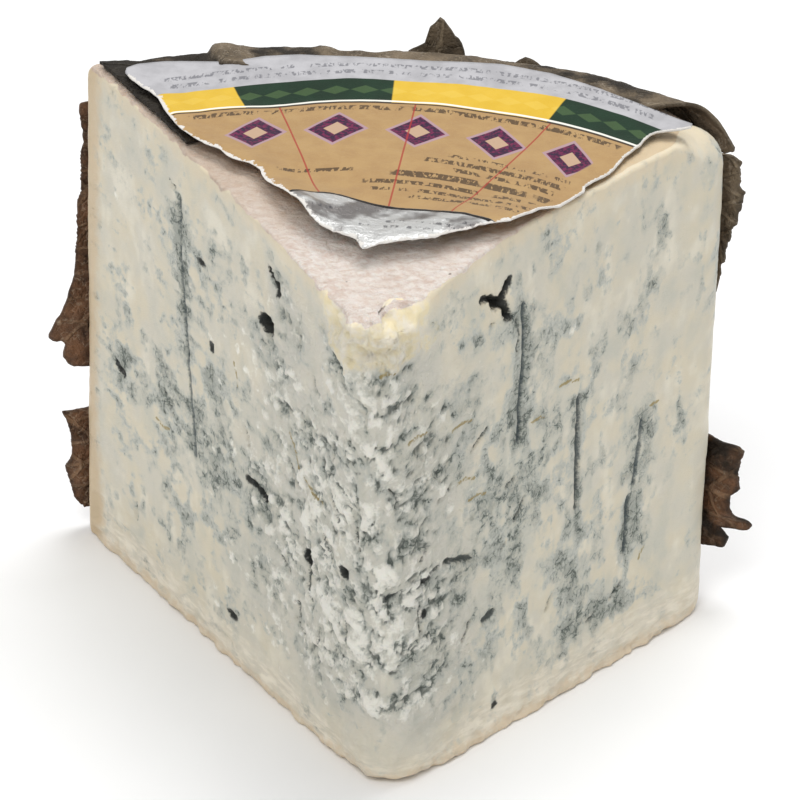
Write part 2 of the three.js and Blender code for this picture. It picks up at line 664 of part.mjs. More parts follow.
// ---- Assembly ----
const LOBED_LEAVES = {
  leaf_back: {
    around: 8, height: 52, length: 55.5, midrib: 6, free: 0, layer: 1, seed: 1.5, rings: 5, upright: true,
    within: (a, h) => a > -46 && a < 60 && h > 5 && h < valueAt(BACK_LEAF_HEAD, a),
  },
  leaf_left_upper: {
    around: -30, height: 70, length: 60, midrib: -35, free: -90, layer: 2, seed: 2.5, rings: 5,
    within: (a, h) => h > 34.3 && h < 90 && a > valueAt(LEFT_UPPER_EDGE, h),
  },
  leaf_left_lower: {
    around: -38, height: 15, length: 26, midrib: -95, free: -90, layer: 0, seed: 3.5,
    within: (a, h) => h > 4.2 && h < 26 && a > valueAt(LEFT_LOWER_EDGE, h),
  },
  leaf_right_upper: {
    around: 48, height: 80, length: 46, midrib: 60, free: 90, layer: 2, seed: 4.5, rings: 5,
    within: (a, h) => h > 58.5 && h < 89 && a < valueAt(RIGHT_UPPER_EDGE, h),
  },
  leaf_right_lower: {
    around: 56, height: 24, length: 30, midrib: 95, free: 90, layer: 0, seed: 5.5,
    within: (a, h) => h > 10.8 && h < 33.6 && a < valueAt(RIGHT_LOWER_EDGE, h),
  },
};
const LEAF_COLOURS = {
  leaf_back: 0x5a4a3a,
  leaf_left_upper: 0x4a3426,
  leaf_left_lower: 0x5c3a28,
  leaf_right_upper: 0x6b5443,
  leaf_right_lower: 0x3d2a22,
};

const wedge = new THREE.Group();
addPiece(wedge, "cheese", skinOverRings(cheeseRings()), material(0xcfc9b8, 0.6));
addPiece(wedge, "label", makeLabel(), material(0xdeb67a, 0.5));
addPiece(wedge, "leaf_rim", makeRimLeaf(), material(0x6e6455, 0.8));
addPiece(wedge, "leaf_top", makeTopLeaf(), material(0x2d2a23, 0.7));
for (const [name, leaf] of Object.entries(LOBED_LEAVES)) {
  addPiece(wedge, name, makeLobedLeaf(leaf), material(LEAF_COLOURS[name], 0.8));
}

export default wedge;
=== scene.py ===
"""A wedge of blue cheese in its wrap of dried leaves, with a torn sector of label on top.

Lengths are in millimetres up to the meshes, which are in metres. Plan points are given from the
axis of the drum that the wedge was cut from, as in the solids, and moved to the part's frame at
the end. Every random value comes from a lattice hash, so each run gives the same shapes.
"""
import math

import bpy
import numpy as np
from mathutils import Matrix, Vector


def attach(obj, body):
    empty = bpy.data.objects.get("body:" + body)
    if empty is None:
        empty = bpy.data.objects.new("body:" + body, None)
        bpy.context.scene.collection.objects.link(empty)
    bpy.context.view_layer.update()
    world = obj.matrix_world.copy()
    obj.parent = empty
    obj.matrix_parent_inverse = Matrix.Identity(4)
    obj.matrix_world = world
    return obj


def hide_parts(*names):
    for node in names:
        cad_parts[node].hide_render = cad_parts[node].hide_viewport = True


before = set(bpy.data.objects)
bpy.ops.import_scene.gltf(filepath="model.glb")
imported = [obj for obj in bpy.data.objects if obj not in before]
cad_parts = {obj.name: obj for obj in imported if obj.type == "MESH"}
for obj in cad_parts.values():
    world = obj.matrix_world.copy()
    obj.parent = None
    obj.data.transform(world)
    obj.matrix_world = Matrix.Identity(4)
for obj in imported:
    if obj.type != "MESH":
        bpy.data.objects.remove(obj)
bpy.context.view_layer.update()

MM = 0.001
DRUM_AXIS = np.array([-9.0, -61.0])

# ---- Driving dimensions, as in the solids ----
HEIGHT = 100.0
NOSE = np.array([[14.5, 11.0], [10.5, 3.5]])
LEFT_CORNER = np.array([[-51.5, 98.0], [-50.0, 95.0]])
RIGHT_CORNER = np.array([[68.5, 84.0], [69.5, 89.0]])
NOSE_BLUNT = (13.0, 11.0)
LEFT_ROUND = 4.0
RIGHT_ROUND = 8.0
CUT_EDGE = 0.8
RIM_RADIUS = 8.0
BASE_RIM_RADIUS = 5.0
RIGHT_SHOULDER = 11.0
SHOULDER_DROP = 2.5
NOSE_CHIP = 6.0
BASE_NOSE_CHIP = 2.5
TIP_DROP = 4.5
TIP_REACH = 46.0
FACE_WAVE = 1.1
LABEL_CENTRE = np.array([10.0, 8.0])
LABEL_THICKNESS = 0.35
LABEL_LIFT = 1.0
LABEL_RIM_LIFT = 1.2
LEAF_THICKNESS = 0.6
LEAF_LAYERS = (0.6, 1.75, 2.9)
LEAF_WAVE = 0.3
RIM_LIFT = 0.5
RIND_MEAN_RADIUS = 106.0
FREE_EDGE = (-51.0, 68.0)
FLAP_CURL = 0.05

# ---- The camera: place in the part's frame and lens ----
CAMERA_AT = Vector((78.0, -861.0, 537.5)) * MM
CAMERA_TURN = {"elevation": 29.3, "azimuth": 5.0, "roll": 0.87}
CAMERA_LENS = 250.0


# ---- Small maths ----
def mix(a, b, t):
    return a + (b - a) * t


def ease(value, low, high):
    t = np.clip((value - low) / (high - low), 0.0, 1.0)
    return t * t * (3.0 - 2.0 * t)


def lattice(x, y, z):
    """Random values from 0 to 1 on a lattice of whole numbers, the same on every run."""
    x, y, z = (np.atleast_1d(v).astype(np.int64).astype(np.uint32) for v in (x, y, z))
    h = (x * np.uint32(374761393)) ^ (y * np.uint32(668265263)) ^ (z * np.uint32(1442695041))
    h = (h ^ (h >> np.uint32(13))) * np.uint32(1274126177)
    return (h ^ (h >> np.uint32(16))) / 4294967296.0


def noise(x, y, z):
    """Smooth random values from -1 to 1."""
    x, y, z = np.broadcast_arrays(np.asarray(x, float), y, z)
    cell = [np.floor(v) for v in (x, y, z)]
    far = [ease(v - c, 0.0, 1.0) for v, c in zip((x, y, z), cell)]
    total = np.zeros(x.shape)
    for i, j, k in np.ndindex(2, 2, 2):
        weight = 1.0
        for share, step in zip(far, (i, j, k)):
            weight = weight * (share if step else 1.0 - share)
        total += weight * lattice(cell[0] + i, cell[1] + j, cell[2] + k).reshape(x.shape)
    return 2.0 * total - 1.0


def rough(x, y, z, octaves=3, gain=0.5):
    """Noise summed over octaves, still roughly from -1 to 1."""
    total, size, reach = 0.0, 1.0, 0.0
    for octave in range(octaves):
        step = 2.03**octave
        total = total + size * noise(x * step + 11.3 * octave, y * step, z * step - 5.7 * octave)
        reach += size
        size *= gain
    return total / reach


def cells(x, y, seed):
    """Scattered points, one in each unit square: distance to the nearest, how much further the
    next one is, and the nearest one's own random value."""
    x, y = np.broadcast_arrays(np.asarray(x, float), y)
    col, row = np.floor(x), np.floor(y)
    first, second, value = np.full(x.shape, 9.0), np.full(x.shape, 9.0), np.zeros(x.shape)
    for i, j in np.ndindex(3, 3):
        a, b = col + i - 1, row + j - 1
        at_x = a + lattice(a, b, seed).reshape(x.shape)
        at_y = b + lattice(a, b, seed + 1).reshape(x.shape)
        away = np.hypot(x - at_x, y - at_y)
        nearer = away < first
        second = np.where(nearer, first, np.minimum(second, away))
        value = np.where(nearer, lattice(a, b, seed + 2).reshape(x.shape), value)
        first = np.where(nearer, away, first)
    return first, second - first, value


def line_distance(x, y, line):
    """Distance from points to an open line of corners."""
    best = np.full(np.broadcast(x, y).shape, 1e9)
    for (x0, y0), (x1, y1) in zip(line[:-1], line[1:]):
        span = max((x1 - x0) ** 2 + (y1 - y0) ** 2, 1e-9)
        t = np.clip(((x - x0) * (x1 - x0) + (y - y0) * (y1 - y0)) / span, 0.0, 1.0)
        best = np.minimum(best, np.hypot(x - mix(x0, x1, t), y - mix(y0, y1, t)))
    return best


def along_line(line, count):
    """Points evenly spaced along an open line of corners."""
    line = np.asarray(line, float)
    far = np.concatenate([[0.0], np.cumsum(np.linalg.norm(np.diff(line, axis=0), axis=1))])
    at = np.linspace(0.0, far[-1], count)
    return np.stack([np.interp(at, far, line[:, axis]) for axis in range(line.shape[1])], -1)


def unit(v):
    return v / np.linalg.norm(v, axis=-1, keepdims=True)


# ---- Meshes ----
def make_piece(name, points, quads, fields, look, node):
    """A piece from points in the drum's frame and faces of four or three corners."""
    places = np.array(points, float)
    places[:, :2] += DRUM_AXIS
    mesh = bpy.data.meshes.new(name)
    corners = [len(face) for group in quads for face in group]
    loops = np.concatenate([group.ravel() for group in quads]).astype(np.int32)
    mesh.vertices.add(len(places))
    mesh.vertices.foreach_set("co", (places * MM).astype(np.float32).ravel())
    mesh.loops.add(len(loops))
    mesh.loops.foreach_set("vertex_index", loops)
    mesh.polygons.add(len(corners))
    starts = np.concatenate([[0], np.cumsum(corners)[:-1]]).astype(np.int32)
    mesh.polygons.foreach_set("loop_start", starts)
    mesh.update(calc_edges=True)
    for field, values in fields.items():
        layer = mesh.attributes.new(field, "FLOAT", "POINT")
        layer.data.foreach_set("value", np.asarray(values, np.float32).ravel())
    mesh.shade_smooth()
    mesh.materials.append(look)
    piece = bpy.data.objects.new(name, mesh)
    bpy.context.scene.collection.objects.link(piece)
    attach(piece, "root")
    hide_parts(node)
    return piece


def ring_quads(rings, count, first):
    """Faces between rings of equal length, numbered on from a first point."""
    ring, i = np.meshgrid(np.arange(rings - 1), np.arange(count), indexing="ij")
    here, there = first + ring * count, first + (ring + 1) * count
    after = (i + 1) % count
    return np.stack([here + i, here + after, there + after, there + i], -1).reshape(-1, 4)


def grid_quads(rows, columns, first):
    row, column = np.meshgrid(np.arange(rows - 1), np.arange(columns - 1), indexing="ij")
    here = first + row * columns + column
    return np.stack([here, here + 1, here + columns + 1, here + columns], -1).reshape(-1, 4)


def band_quads(border, other):
    """Faces between two closed loops of points."""
    return np.stack([border, np.roll(border, -1), np.roll(other, -1), other], -1)


def make_sheet(name, lower, upper, fields, look, node):
    """A thin closed sheet between two grids of points."""
    rows, columns = lower.shape[:2]
    under = grid_quads(rows, columns, 0)
    border = np.concatenate([
        np.arange(columns - 1),
        np.arange(rows - 1) * columns + columns - 1,
        (rows - 1) * columns + np.arange(columns - 1, 0, -1),
        np.arange(rows - 1, 0, -1) * columns,
    ])
    count = rows * columns
    faces = [under[:, ::-1], under + count, band_quads(border, border + count)]
    points = np.concatenate([lower.reshape(-1, 3), upper.reshape(-1, 3)])
    fields = {field: np.tile(values.ravel(), 2) for field, values in fields.items()}
    return make_piece(name, points, faces, fields, look, node)


# ---- Plan of the wedge ----
NOSE_LEFT, LEFT_CUT, LEFT_TURN, RIND, RIGHT_TURN, RIGHT_CUT, NOSE_RIGHT = range(7)


def plan(kind, t, share):
    """Places on the outline at shares of the height, 0 at the base and 1 at the top."""
    s = share[..., None]
    t = t[..., None] if np.ndim(t) else np.asarray(t)
    nose, left, right = (mix(c[0], c[1], s) for c in (NOSE, LEFT_CORNER, RIGHT_CORNER))
    blunt = mix(*NOSE_BLUNT, s)
    nose_left = nose + unit(left - nose) * blunt
    nose_right = nose + unit(right - nose) * blunt
    left_in = left + unit(nose - left) * LEFT_ROUND
    right_in = right + unit(nose - right) * RIGHT_ROUND
    left_radius, right_radius = (np.linalg.norm(c, axis=-1, keepdims=True) for c in (left, right))
    left_turn = np.arctan2(left[..., :1], left[..., 1:])
    right_turn = np.arctan2(right[..., :1], right[..., 1:])
    start = left_turn + LEFT_ROUND / left_radius
    end = right_turn - RIGHT_ROUND / right_radius

    def rind(azimuth):
        radius = mix(left_radius, right_radius, (azimuth - left_turn) / (right_turn - left_turn))
        return np.concatenate([radius * np.sin(azimuth), radius * np.cos(azimuth)], -1)

    def turned(a, corner, b, t):
        return mix(mix(a, corner, t), mix(corner, b, t), t)

    choices = [
        turned(nose_right, nose, nose_left, 0.5 + t / 2),
        mix(nose_left, left_in, t),
        turned(left_in, left, rind(start), t),
        rind(mix(start, end, t)),
        turned(rind(end), right, right_in, t),
        mix(right_in, nose_right, t),
        turned(nose_right, nose, nose_left, t / 2),
    ]
    return np.select([(kind == k)[..., None] for k in range(7)], choices)


def cut_span(face):
    """Distances from the nose that a cut's stations stand for, at half its height."""
    nose, corner = NOSE.mean(0), (LEFT_CORNER if face < 0 else RIGHT_CORNER).mean(0)
    turn = LEFT_ROUND if face < 0 else RIGHT_ROUND
    return sum(NOSE_BLUNT) / 2, np.linalg.norm(corner - nose) - turn


def tip_level(x, y):
    away = np.hypot(x - NOSE[1, 0], y - NOSE[1, 1])
    sink = TIP_DROP * (1.0 - ease(away, 0.0, TIP_REACH)) ** 1.3
    return HEIGHT - sink + 0.45 * noise(x / 13, y / 13, 3.5)


def top_height(x, y):
    away = np.hypot(x - RIGHT_CORNER[1, 0], y - RIGHT_CORNER[1, 1])
    return tip_level(x, y) - SHOULDER_DROP * (1.0 - ease(away, 4.0, 22.0))


# ---- What shows on the cuts ----
# Distance along the cut from the nose, height, half length, half height and strength of each
# patch of blue mould. The left cut comes first.
MOULD = {
    -1: [
        (69, 74, 4, 17, 0.70), (66, 83, 12, 7, 0.50), (58, 82, 6, 4, 0.60), (33, 90, 4, 5, 0.80),
        (29, 83, 6, 6, 0.70), (39, 75, 7, 4, 0.75), (90, 43, 7, 5, 0.75), (73, 45, 8, 11, 0.75),
        (57, 59, 7, 8, 0.55), (58, 41, 8, 9, 0.70), (45, 42, 8, 8, 0.70), (29, 65, 10, 9, 0.65),
        (27, 41, 16, 13, 0.70), (13, 61, 14, 15, 0.75), (8, 84, 10, 9, 0.80), (6, 40, 14, 17, 0.80),
        (46, 24, 12, 7, 0.60), (75, 19, 10, 5, 0.45), (89, 14, 4, 8, 0.50), (54, 11, 7, 4, 0.40),
        (17, 21, 12, 8, 0.60), (4, 22, 12, 7, 0.70), (98, 55, 6, 7, 0.30), (45, 55, 34, 32, 0.25),
        (66, 40, 30, 22, 0.25), (38, 26, 26, 16, 0.20),
    ],
    1: [
        (39, 75, 4, 15, 0.90), (33, 83, 8, 3, 0.60), (38, 57, 7, 9, 0.90), (26, 72, 8, 6, 0.45),
        (19, 69, 9, 8, 0.55), (12, 62, 11, 13, 0.75), (8, 80, 8, 11, 0.75), (21, 39, 6, 3, 0.90),
        (14, 32, 11, 11, 0.70), (6, 48, 10, 13, 0.90), (33, 43, 9, 11, 0.65), (48, 23, 11, 7, 0.65),
        (62, 13, 12, 4, 0.85), (71, 27, 4, 10, 0.80), (54, 34, 4, 4, 0.60), (50, 74, 5, 9, 0.45),
        (60, 68, 4, 4, 0.35), (62, 55, 4, 4, 0.35), (77, 61, 3, 4, 0.25), (73, 42, 6, 8, 0.50),
        (49, 59, 6, 5, 0.50), (50, 11, 9, 4, 0.45), (26, 22, 9, 8, 0.55), (8, 20, 8, 7, 0.70),
        (18, 12, 8, 3, 0.30), (22, 50, 24, 34, 0.32), (52, 40, 26, 30, 0.25), (58, 70, 26, 18, 0.15),
    ],
}

# Openings: distance along the cut, height, half length, half height and depth.
HOLES = {
    -1: [
        (37.8, 80, 2.3, 1.6, 4.0), (25, 38, 1.3, 1.5, 3.0), (12.3, 41.7, 0.9, 1.2, 1.6),
        (52, 11, 1.6, 0.7, 1.2), (61, 81.2, 1.1, 0.5, 0.8), (58.6, 64.8, 0.8, 0.9, 1.0),
    ],
    1: [
        (13.4, 40.6, 0.9, 0.6, 0.8), (12.8, 33.6, 0.7, 0.8, 0.9),
        (31.3, 5.6, 0.5, 0.5, 0.7),
    ],
}

# Ragged openings, as lines of (distance along the cut, height) with a half width and a depth.
RAGGED_HOLES = {
    -1: [
        ([(35.9, 92.0), (34.3, 90.2), (33.2, 89.0), (33.4, 87.8)], 0.4, 1.6),
        ([(46.1, 43.7), (43.6, 43.8), (41.7, 43.0), (39.2, 42.7)], 0.5, 2.4),
        ([(95.5, 43.3), (92.3, 42.1)], 0.4, 1.2),
    ],
    1: [
        ([(29.3, 91.0), (31.2, 90.8), (32.0, 89.2)], 0.5, 3.0),
        ([(36.2, 91.8), (34.7, 90.6), (33.7, 89.1)], 0.65, 4.5),
        ([(32.0, 89.4), (34.2, 88.3)], 0.8, 4.0),
        ([(34.2, 88.3), (35.2, 85.3)], 0.75, 4.0),
    ],
}

# Straight channels left by the piercing needles: distance along the cut, its foot and its head,
# their heights, depth and half width.
TRACKS = {
    -1: [(68.5, 57, 69.5, 90, 0.7, 0.35), (66, 38, 68.5, 57, 0.3, 0.25)],
    1: [
        (38.5, 58, 39.2, 86, 0.7, 0.35), (54.6, 38, 55.2, 60, 1.2, 0.55),
        (71.8, 35.6, 73.4, 48, 0.5, 0.35), (70, 22, 70.2, 33, 0.6, 0.4),
    ],
}

# Narrow cracks: two ends along the cut and up it, and half width.
CRACKS = {
    -1: [
        (24.6, 35.3, 24.6, 30.5, 0.45), (29, 26.8, 28.6, 23.6, 0.4), (21.8, 23, 21, 20, 0.4),
        (25.5, 32, 24, 29, 0.35), (88.6, 17, 88.6, 12, 0.3), (74, 91.6, 70.5, 90.5, 0.25),
        (16, 67, 15, 63, 0.3), (17, 56, 14, 52, 0.3), (32, 55, 29, 52, 0.3),
        (20, 46, 18, 42, 0.35), (35, 34, 31, 31, 0.3), (13, 31, 12, 27, 0.3), (47, 54, 45, 51, 0.3),
        (22, 78, 20, 74, 0.3), (78, 46, 76, 43, 0.3), (53, 46, 51, 43, 0.3),
        (10, 53, 9, 49, 0.35), (30, 23, 27, 21, 0.3),
    ],
    1: [
        (18.5, 42.2, 25.7, 39.8, 0.6), (16.4, 41.4, 14, 41.2, 0.5), (28.4, 25, 32.1, 26.2, 0.6),
        (30, 85.5, 36, 85, 0.25), (37.5, 84, 38, 78, 0.3), (4, 38.6, 8, 39.4, 0.5),
        (26, 62, 30, 65, 0.3), (12, 45, 14, 47, 0.3), (18, 56, 21, 57, 0.3),
        (46, 20, 48, 23, 0.3), (58, 12, 61, 13, 0.35), (66, 14, 69, 16, 0.35),
        (35, 50, 37, 51, 0.3), (40, 46, 38, 43, 0.3), (7, 62, 9, 58, 0.3),
        (11, 35, 12, 31, 0.3), (23, 24, 25, 27, 0.3), (33, 37, 35, 39, 0.25),
    ],
}

# Fine ochre marks, as curved lines of three points along the cut and up it.
OCHRE_MARKS = {
    -1: [
        [(31, 61), (29, 58), (28, 55)], [(26, 54), (23, 52), (20, 52)], [(50, 66), (49, 63), (49, 61)],
        [(80.7, 38.7), (78, 38), (76, 38.5)],
    ],
    1: [
        [(42, 60.6), (44, 60.8), (45.7, 60.2)], [(21.2, 68.2), (23.5, 69), (25.9, 68.4)],
        [(22.4, 56.6), (24.5, 57), (26.7, 56)], [(25.2, 52.1), (27.4, 52.4), (29.7, 51.5)],
        [(49.5, 64.9), (52, 64.8), (54.9, 63.8)], [(75.3, 49.8), (76.6, 50.2), (77.8, 49.8)],
        [(74.1, 18.7), (74.6, 19.9), (75.5, 20.7)], [(11, 70.3), (13, 70.9), (15, 70.6)],
        [(6, 85.2), (7.5, 85.6), (9, 85.2)],
    ],
}


# Where a patch of mould fades, as shares of its half sizes from its middle.
PATCH_FADE = (0.45, 1.45)


def patch_strength(s, up, patches_left, patches_right):
    """Strength of the patches at signed distances from the nose, left of it below 0."""
    clear = np.ones(np.broadcast(s, up).shape)
    for face, patches in ((-1, patches_left), (1, patches_right)):
        for along, height, wide, tall, strength in patches:
            off = np.hypot((s - face * (along - NOSE_ARC)) / wide, (up - height) / tall)
            clear = clear * (1.0 - strength * (1.0 - ease(off, *PATCH_FADE)))
    return 1.0 - clear


# The distance along either cut that the middle of the blunt nose stands for.
NOSE_ARC = 3.4
# Slope of the streaks of mould on each cut, and a seed that keeps the cuts apart.
STREAK_SLOPE = {-1: math.radians(8), 1: math.radians(14)}
STREAK_SEED = {-1: 3.5, 1: 57.5}
# Signed distances to openings, cracks and marks are cut off here, in millimetres.
CLIP = 4.0
# Over these signed distances the depth of an opening or of a needle track sets in.
HOLE_WALL = (-0.7, 0.2)
TRACK_WALL = (-0.3, 0.45)


def cut_fields(face, along, up, x, y, z):
    """The fields that colour and shape the cuts, at points on them."""
    s = face * (along - NOSE_ARC)
    slope = np.where(face < 0, STREAK_SLOPE[-1], STREAK_SLOPE[1])
    run = along * np.cos(slope) + up * np.sin(slope)
    across = -along * np.sin(slope) + up * np.cos(slope)
    side = np.where(face < 0, STREAK_SEED[-1], STREAK_SEED[1])
    past_nose = ease(along, 4.5, 11.0)

    def streaks(long, short, seed, octaves=3, gain=0.5):
        size = (long * short) ** 0.5
        lumps = rough(x / size, y / size, z / size + seed, octaves, gain)
        return mix(lumps, rough(run / long, across / short, side + seed, octaves, gain), past_nose)

    def upright(wide, tall, seed, octaves=3, gain=0.5):
        return rough(s / wide, up / tall, seed + 0.5, octaves, gain)

    def only_on(sign, gap):
        return np.where(sign * face > 0, gap, CLIP)

    density = patch_strength(s, up, MOULD[-1], MOULD[1])
    at_nose = 1.0 - ease(along, 6.0, 30.0)
    near_edge = ease(up + 4.0 * at_nose, 4.0, 13.0) * ease(HEIGHT - up, 3.0, 9.0)
    density = density * mix(0.3, 1.0, near_edge)
    from_nose = 1.0 - ease(along, 5.0, np.where(face < 0, 74.0, 40.0))
    columns = np.where(face > 0, ease(along, 14.0, 34.0), 0.0)
    slanted = 0.5 * streaks(6.0, 3.4, 9) + 0.55 * streaks(2.7, 1.7, 15, 4, 0.6)
    standing = 0.5 * upright(3.4, 11.0, 43) + 0.5 * upright(2.0, 5.0, 77, 4, 0.6)
    broad = slanted + mix(0.45, 0.9, columns) * standing - 0.5 * columns * slanted
    ribbon = mix(streaks(5.0, 3.4, 111, 4, 0.5), upright(3.6, 7.0, 113, 4, 0.5), 0.3 + 0.4 * columns)
    ridge = 0.26 - 1.3 * np.abs(ribbon)
    clump = 0.95 * broad + ridge + 0.44 * density - 0.5 - 0.07 * from_nose
    haze = 0.9 * broad + 0.7 * ridge + 0.8 * density - 0.58
    vein = streaks(3.6, 2.0, 21, 4, 0.62)
    vein_width = 0.06 * ease(density + 0.6 * broad, 0.25, 0.95)
    crumbly = np.clip(from_nose * (0.35 + 0.9 * density), 0.0, 1.0) * near_edge

    hole = np.full(s.shape, CLIP)
    depth = np.zeros(s.shape)
    crack = np.full(s.shape, CLIP)
    track = np.full(s.shape, CLIP)
    mark = np.full(s.shape, CLIP)
    for sign in (-1, 1):
        openings = []
        for place, height, wide, tall, deep in HOLES[sign]:
            wobble = 0.4 * rough(along / 1.5, up / 1.5, place, 2, 0.6)
            off = np.hypot((along - place) / wide, (up - height) / tall) + wobble - 1.0
            openings.append((off * min(wide, tall), deep))
        for line, half, deep in RAGGED_HOLES[sign]:
            wobble = 0.45 * noise(along / 0.9, up / 0.9, half)
            openings.append((line_distance(along, up, line) - half + wobble, deep))
        for gap, deep in openings:
            gap = only_on(sign, gap)
            hole = np.minimum(hole, gap)
            depth = np.maximum(depth, deep * (1.0 - ease(gap, *HOLE_WALL)))
        for a0, u0, a1, u1, half in CRACKS[sign]:
            bend = 0.9 * noise(along / 3.0, up / 3.0, a0)
            gap = line_distance(along + bend, up + bend, [(a0, u0), (a1, u1)])
            thick = half * (0.75 + 0.5 * noise(along / 1.3, up / 1.3, a0 + 7))
            crack = np.minimum(crack, only_on(sign, gap - thick))
        for a0, u0, a1, u1, deep, half in TRACKS[sign]:
            wander = 0.25 * noise(up / 3.0, a0, 2.5)
            gap = line_distance(along + wander, up, [(a0, u0), (a1, u1)])
            gap = only_on(sign, gap - half * (0.8 + 0.7 * noise(up / 1.7, a0, 4.5)))
            track = np.minimum(track, gap)
            depth = np.maximum(depth, deep * (1.0 - ease(gap, *TRACK_WALL)))
        for line in OCHRE_MARKS[sign]:
            mark = np.minimum(mark, only_on(sign, line_distance(along, up, line)))

    warp = 0.45 * noise(s / 2.0, up / 2.0, 5.5)
    _, seam, height = cells(s / 2.3 + warp, up / 2.9 - warp, 7)
    _, fine_seam, fine_height = cells(s / 1.05 + 2 * warp, up / 1.3, 19)
    flaky = 0.75 * streaks(3.2, 2.0, 91, 4, 0.6) + 0.55 * upright(2.2, 3.4, 95, 4, 0.6)
    flaky = flaky + 0.25 * (height - 0.5)
    along_nose = 0.05 * (1.0 - ease(along, 4.0, 13.0))
    on_left = np.where(face < 0, ease(along, 8.0, 22.0) * (1.0 - ease(along, 52.0, 74.0)), 0.0)
    along_nose = along_nose + 0.2 * on_left * near_edge * (1.0 - ease(up, 70.0, 86.0))
    flake = flaky + 0.52 * from_nose * near_edge * (0.3 + 0.7 * ease(density, 0.1, 0.6)) - 0.68
    flake = flake + along_nose

    clump = clump + 0.2 * (1.0 - ease(track + 0.8 * slanted, 0.0, 3.6))
    line = ease(vein_width - np.abs(vein), 0.0, 0.12)
    broken = crumbly * ease(clump, -0.25, 0.1)
    relief = 0.45 * broken * (height - 0.4) * ease(seam, 0.0, 0.35)
    relief += 0.3 * broken * (fine_height - 0.5) * ease(fine_seam, 0.0, 0.3)
    relief -= 0.3 * broken * (1.0 - ease(seam, 0.02, 0.25))
    relief += 0.2 * crumbly * (ease(np.abs(ribbon), 0.02, 0.16) - 0.5)
    relief -= 0.22 * line * mix(0.4, 1.0, crumbly)
    relief -= 0.3 * ease(clump, 0.0, 0.3) * mix(0.4, 1.0, crumbly)
    relief += 0.4 * ease(flake, -0.12, 0.25)
    # The relief against its neighbours, before the openings and cracks are cut in; the look uses it for
    # painted shade in the hollows and painted highlight on the lumps.
    cavity = relief - smoothed(relief)
    relief -= 0.9 * ease(-crack, -0.25, 0.25) + depth
    relief += (0.06 + 0.12 * ease(haze, -0.2, 0.6)) * streaks(1.6, 1.0, 51, 2)
    relief += 0.10 * streaks(9.0, 1.2, 61, 2) * (1.0 - crumbly)
    smear = 0.25 * streaks(9.0, 3.5, 71, 4, 0.6) + 0.6 * rough(x / 4.5, y / 4.5, z / 6.0, 4, 0.6)
    return {
        "relief": relief,
        "cavity": cavity,
        "haze": haze,
        "clump": clump,
        "vein": vein,
        "vein_width": vein_width,
        "hole": hole,
        "crack": crack,
        "track": track,
        "mark": mark,
        "flake": flake,
        "crumbly": crumbly,
        "at_nose": at_nose,
        "smear": smear + 0.5 * upright(3.4, 9.0, 83, 4, 0.6),
    }


def smoothed(values):
    """A grid of values averaged over its neighbours a few steps each way, round the outline."""
    for shift in (1, 2):
        values = (np.roll(values, shift, 1) + values + np.roll(values, -shift, 1)) / 3
        above = np.concatenate([values[shift:], values[-shift:]])
        below = np.concatenate([values[:shift], values[:-shift]])
        values = (above + values + below) / 3
    return values


# ---- The cheese ----
# Steps between the stations along a cut near the nose and further on, and where the step changes.
CUT_STEP = (0.5, 0.8)
CUT_STEP_CHANGE = (30.0, 60.0)
# The finer step at openings and needle tracks, and how far from one it begins.
FINE_STEP = 0.36
FINE_BESIDE_HOLE = 0.8
FINE_BESIDE_TRACK = 1.1
RIND_STEPS = 52
TURN_STEPS = 8
NOSE_STEPS = 17
SIDE_ROWS = 148
EDGE_ROWS = {"base": 5, "top": 8}
# Rings of the base, as shares of the way out from its middle, and of the top, as shares of the
# way in from its outline.
BASE_SCALES = (0.35, 0.6, 0.8, 0.93)
COVER_SCALES = np.concatenate([np.arange(1, 42) * 0.0105, 0.4305 + np.arange(1, 8) * 0.07])


def cut_places(face):
    """Distances along a cut at which it has stations: closer near the nose and at openings."""
    start, end = cut_span(face)
    narrow = [(a, w + FINE_BESIDE_HOLE) for a, _, w, _, _ in HOLES[face][:3]]
    narrow += [(track[0], FINE_BESIDE_TRACK) for track in TRACKS[face]]
    places = [start]
    while places[-1] < end:
        at = places[-1]
        step = mix(*CUT_STEP, float(ease(at, *CUT_STEP_CHANGE)))
        if any(abs(at - middle) < reach for middle, reach in narrow):
            step = FINE_STEP
        places.append(at + step)
    places = np.array(places)
    return start + (places[:-1] - start) * (end - start) / (places[-1] - start)


# How far from the nose the rind of the top is broken off.
CHIP_REACH = 8.5
# The crater in the top edge right of the nose: distance from the nose, half length, half height and
# depth, and the shift of its middle from the line of the edge.
CRATER_ALONG, CRATER_HALF, CRATER_TALL, CRATER_DEPTH = 11.5, 3.4, 2.6, 1.7
CRATER_SHIFT = np.array([-1.2, 0.8])
# The share of the rim's inset that the nose gives up, so that its tight curve isn't folded.
NOSE_INSET_CUT = 0.58
# On the left cut the look of the rind begins this much sooner, in millimetres.
LEFT_RIND_SOONER = 3.6
# Heights and distances that a look reads are cut off here.
FAR_BELOW, FAR_ALONG = 40.0, 60.0
# Field values off the cuts, which show no mould, flake, opening or mark there.
UNMARKED = {
    "haze": -2.0, "clump": -2.0, "flake": -2.0, "hole": CLIP, "crack": CLIP, "track": CLIP, "mark": CLIP,
}


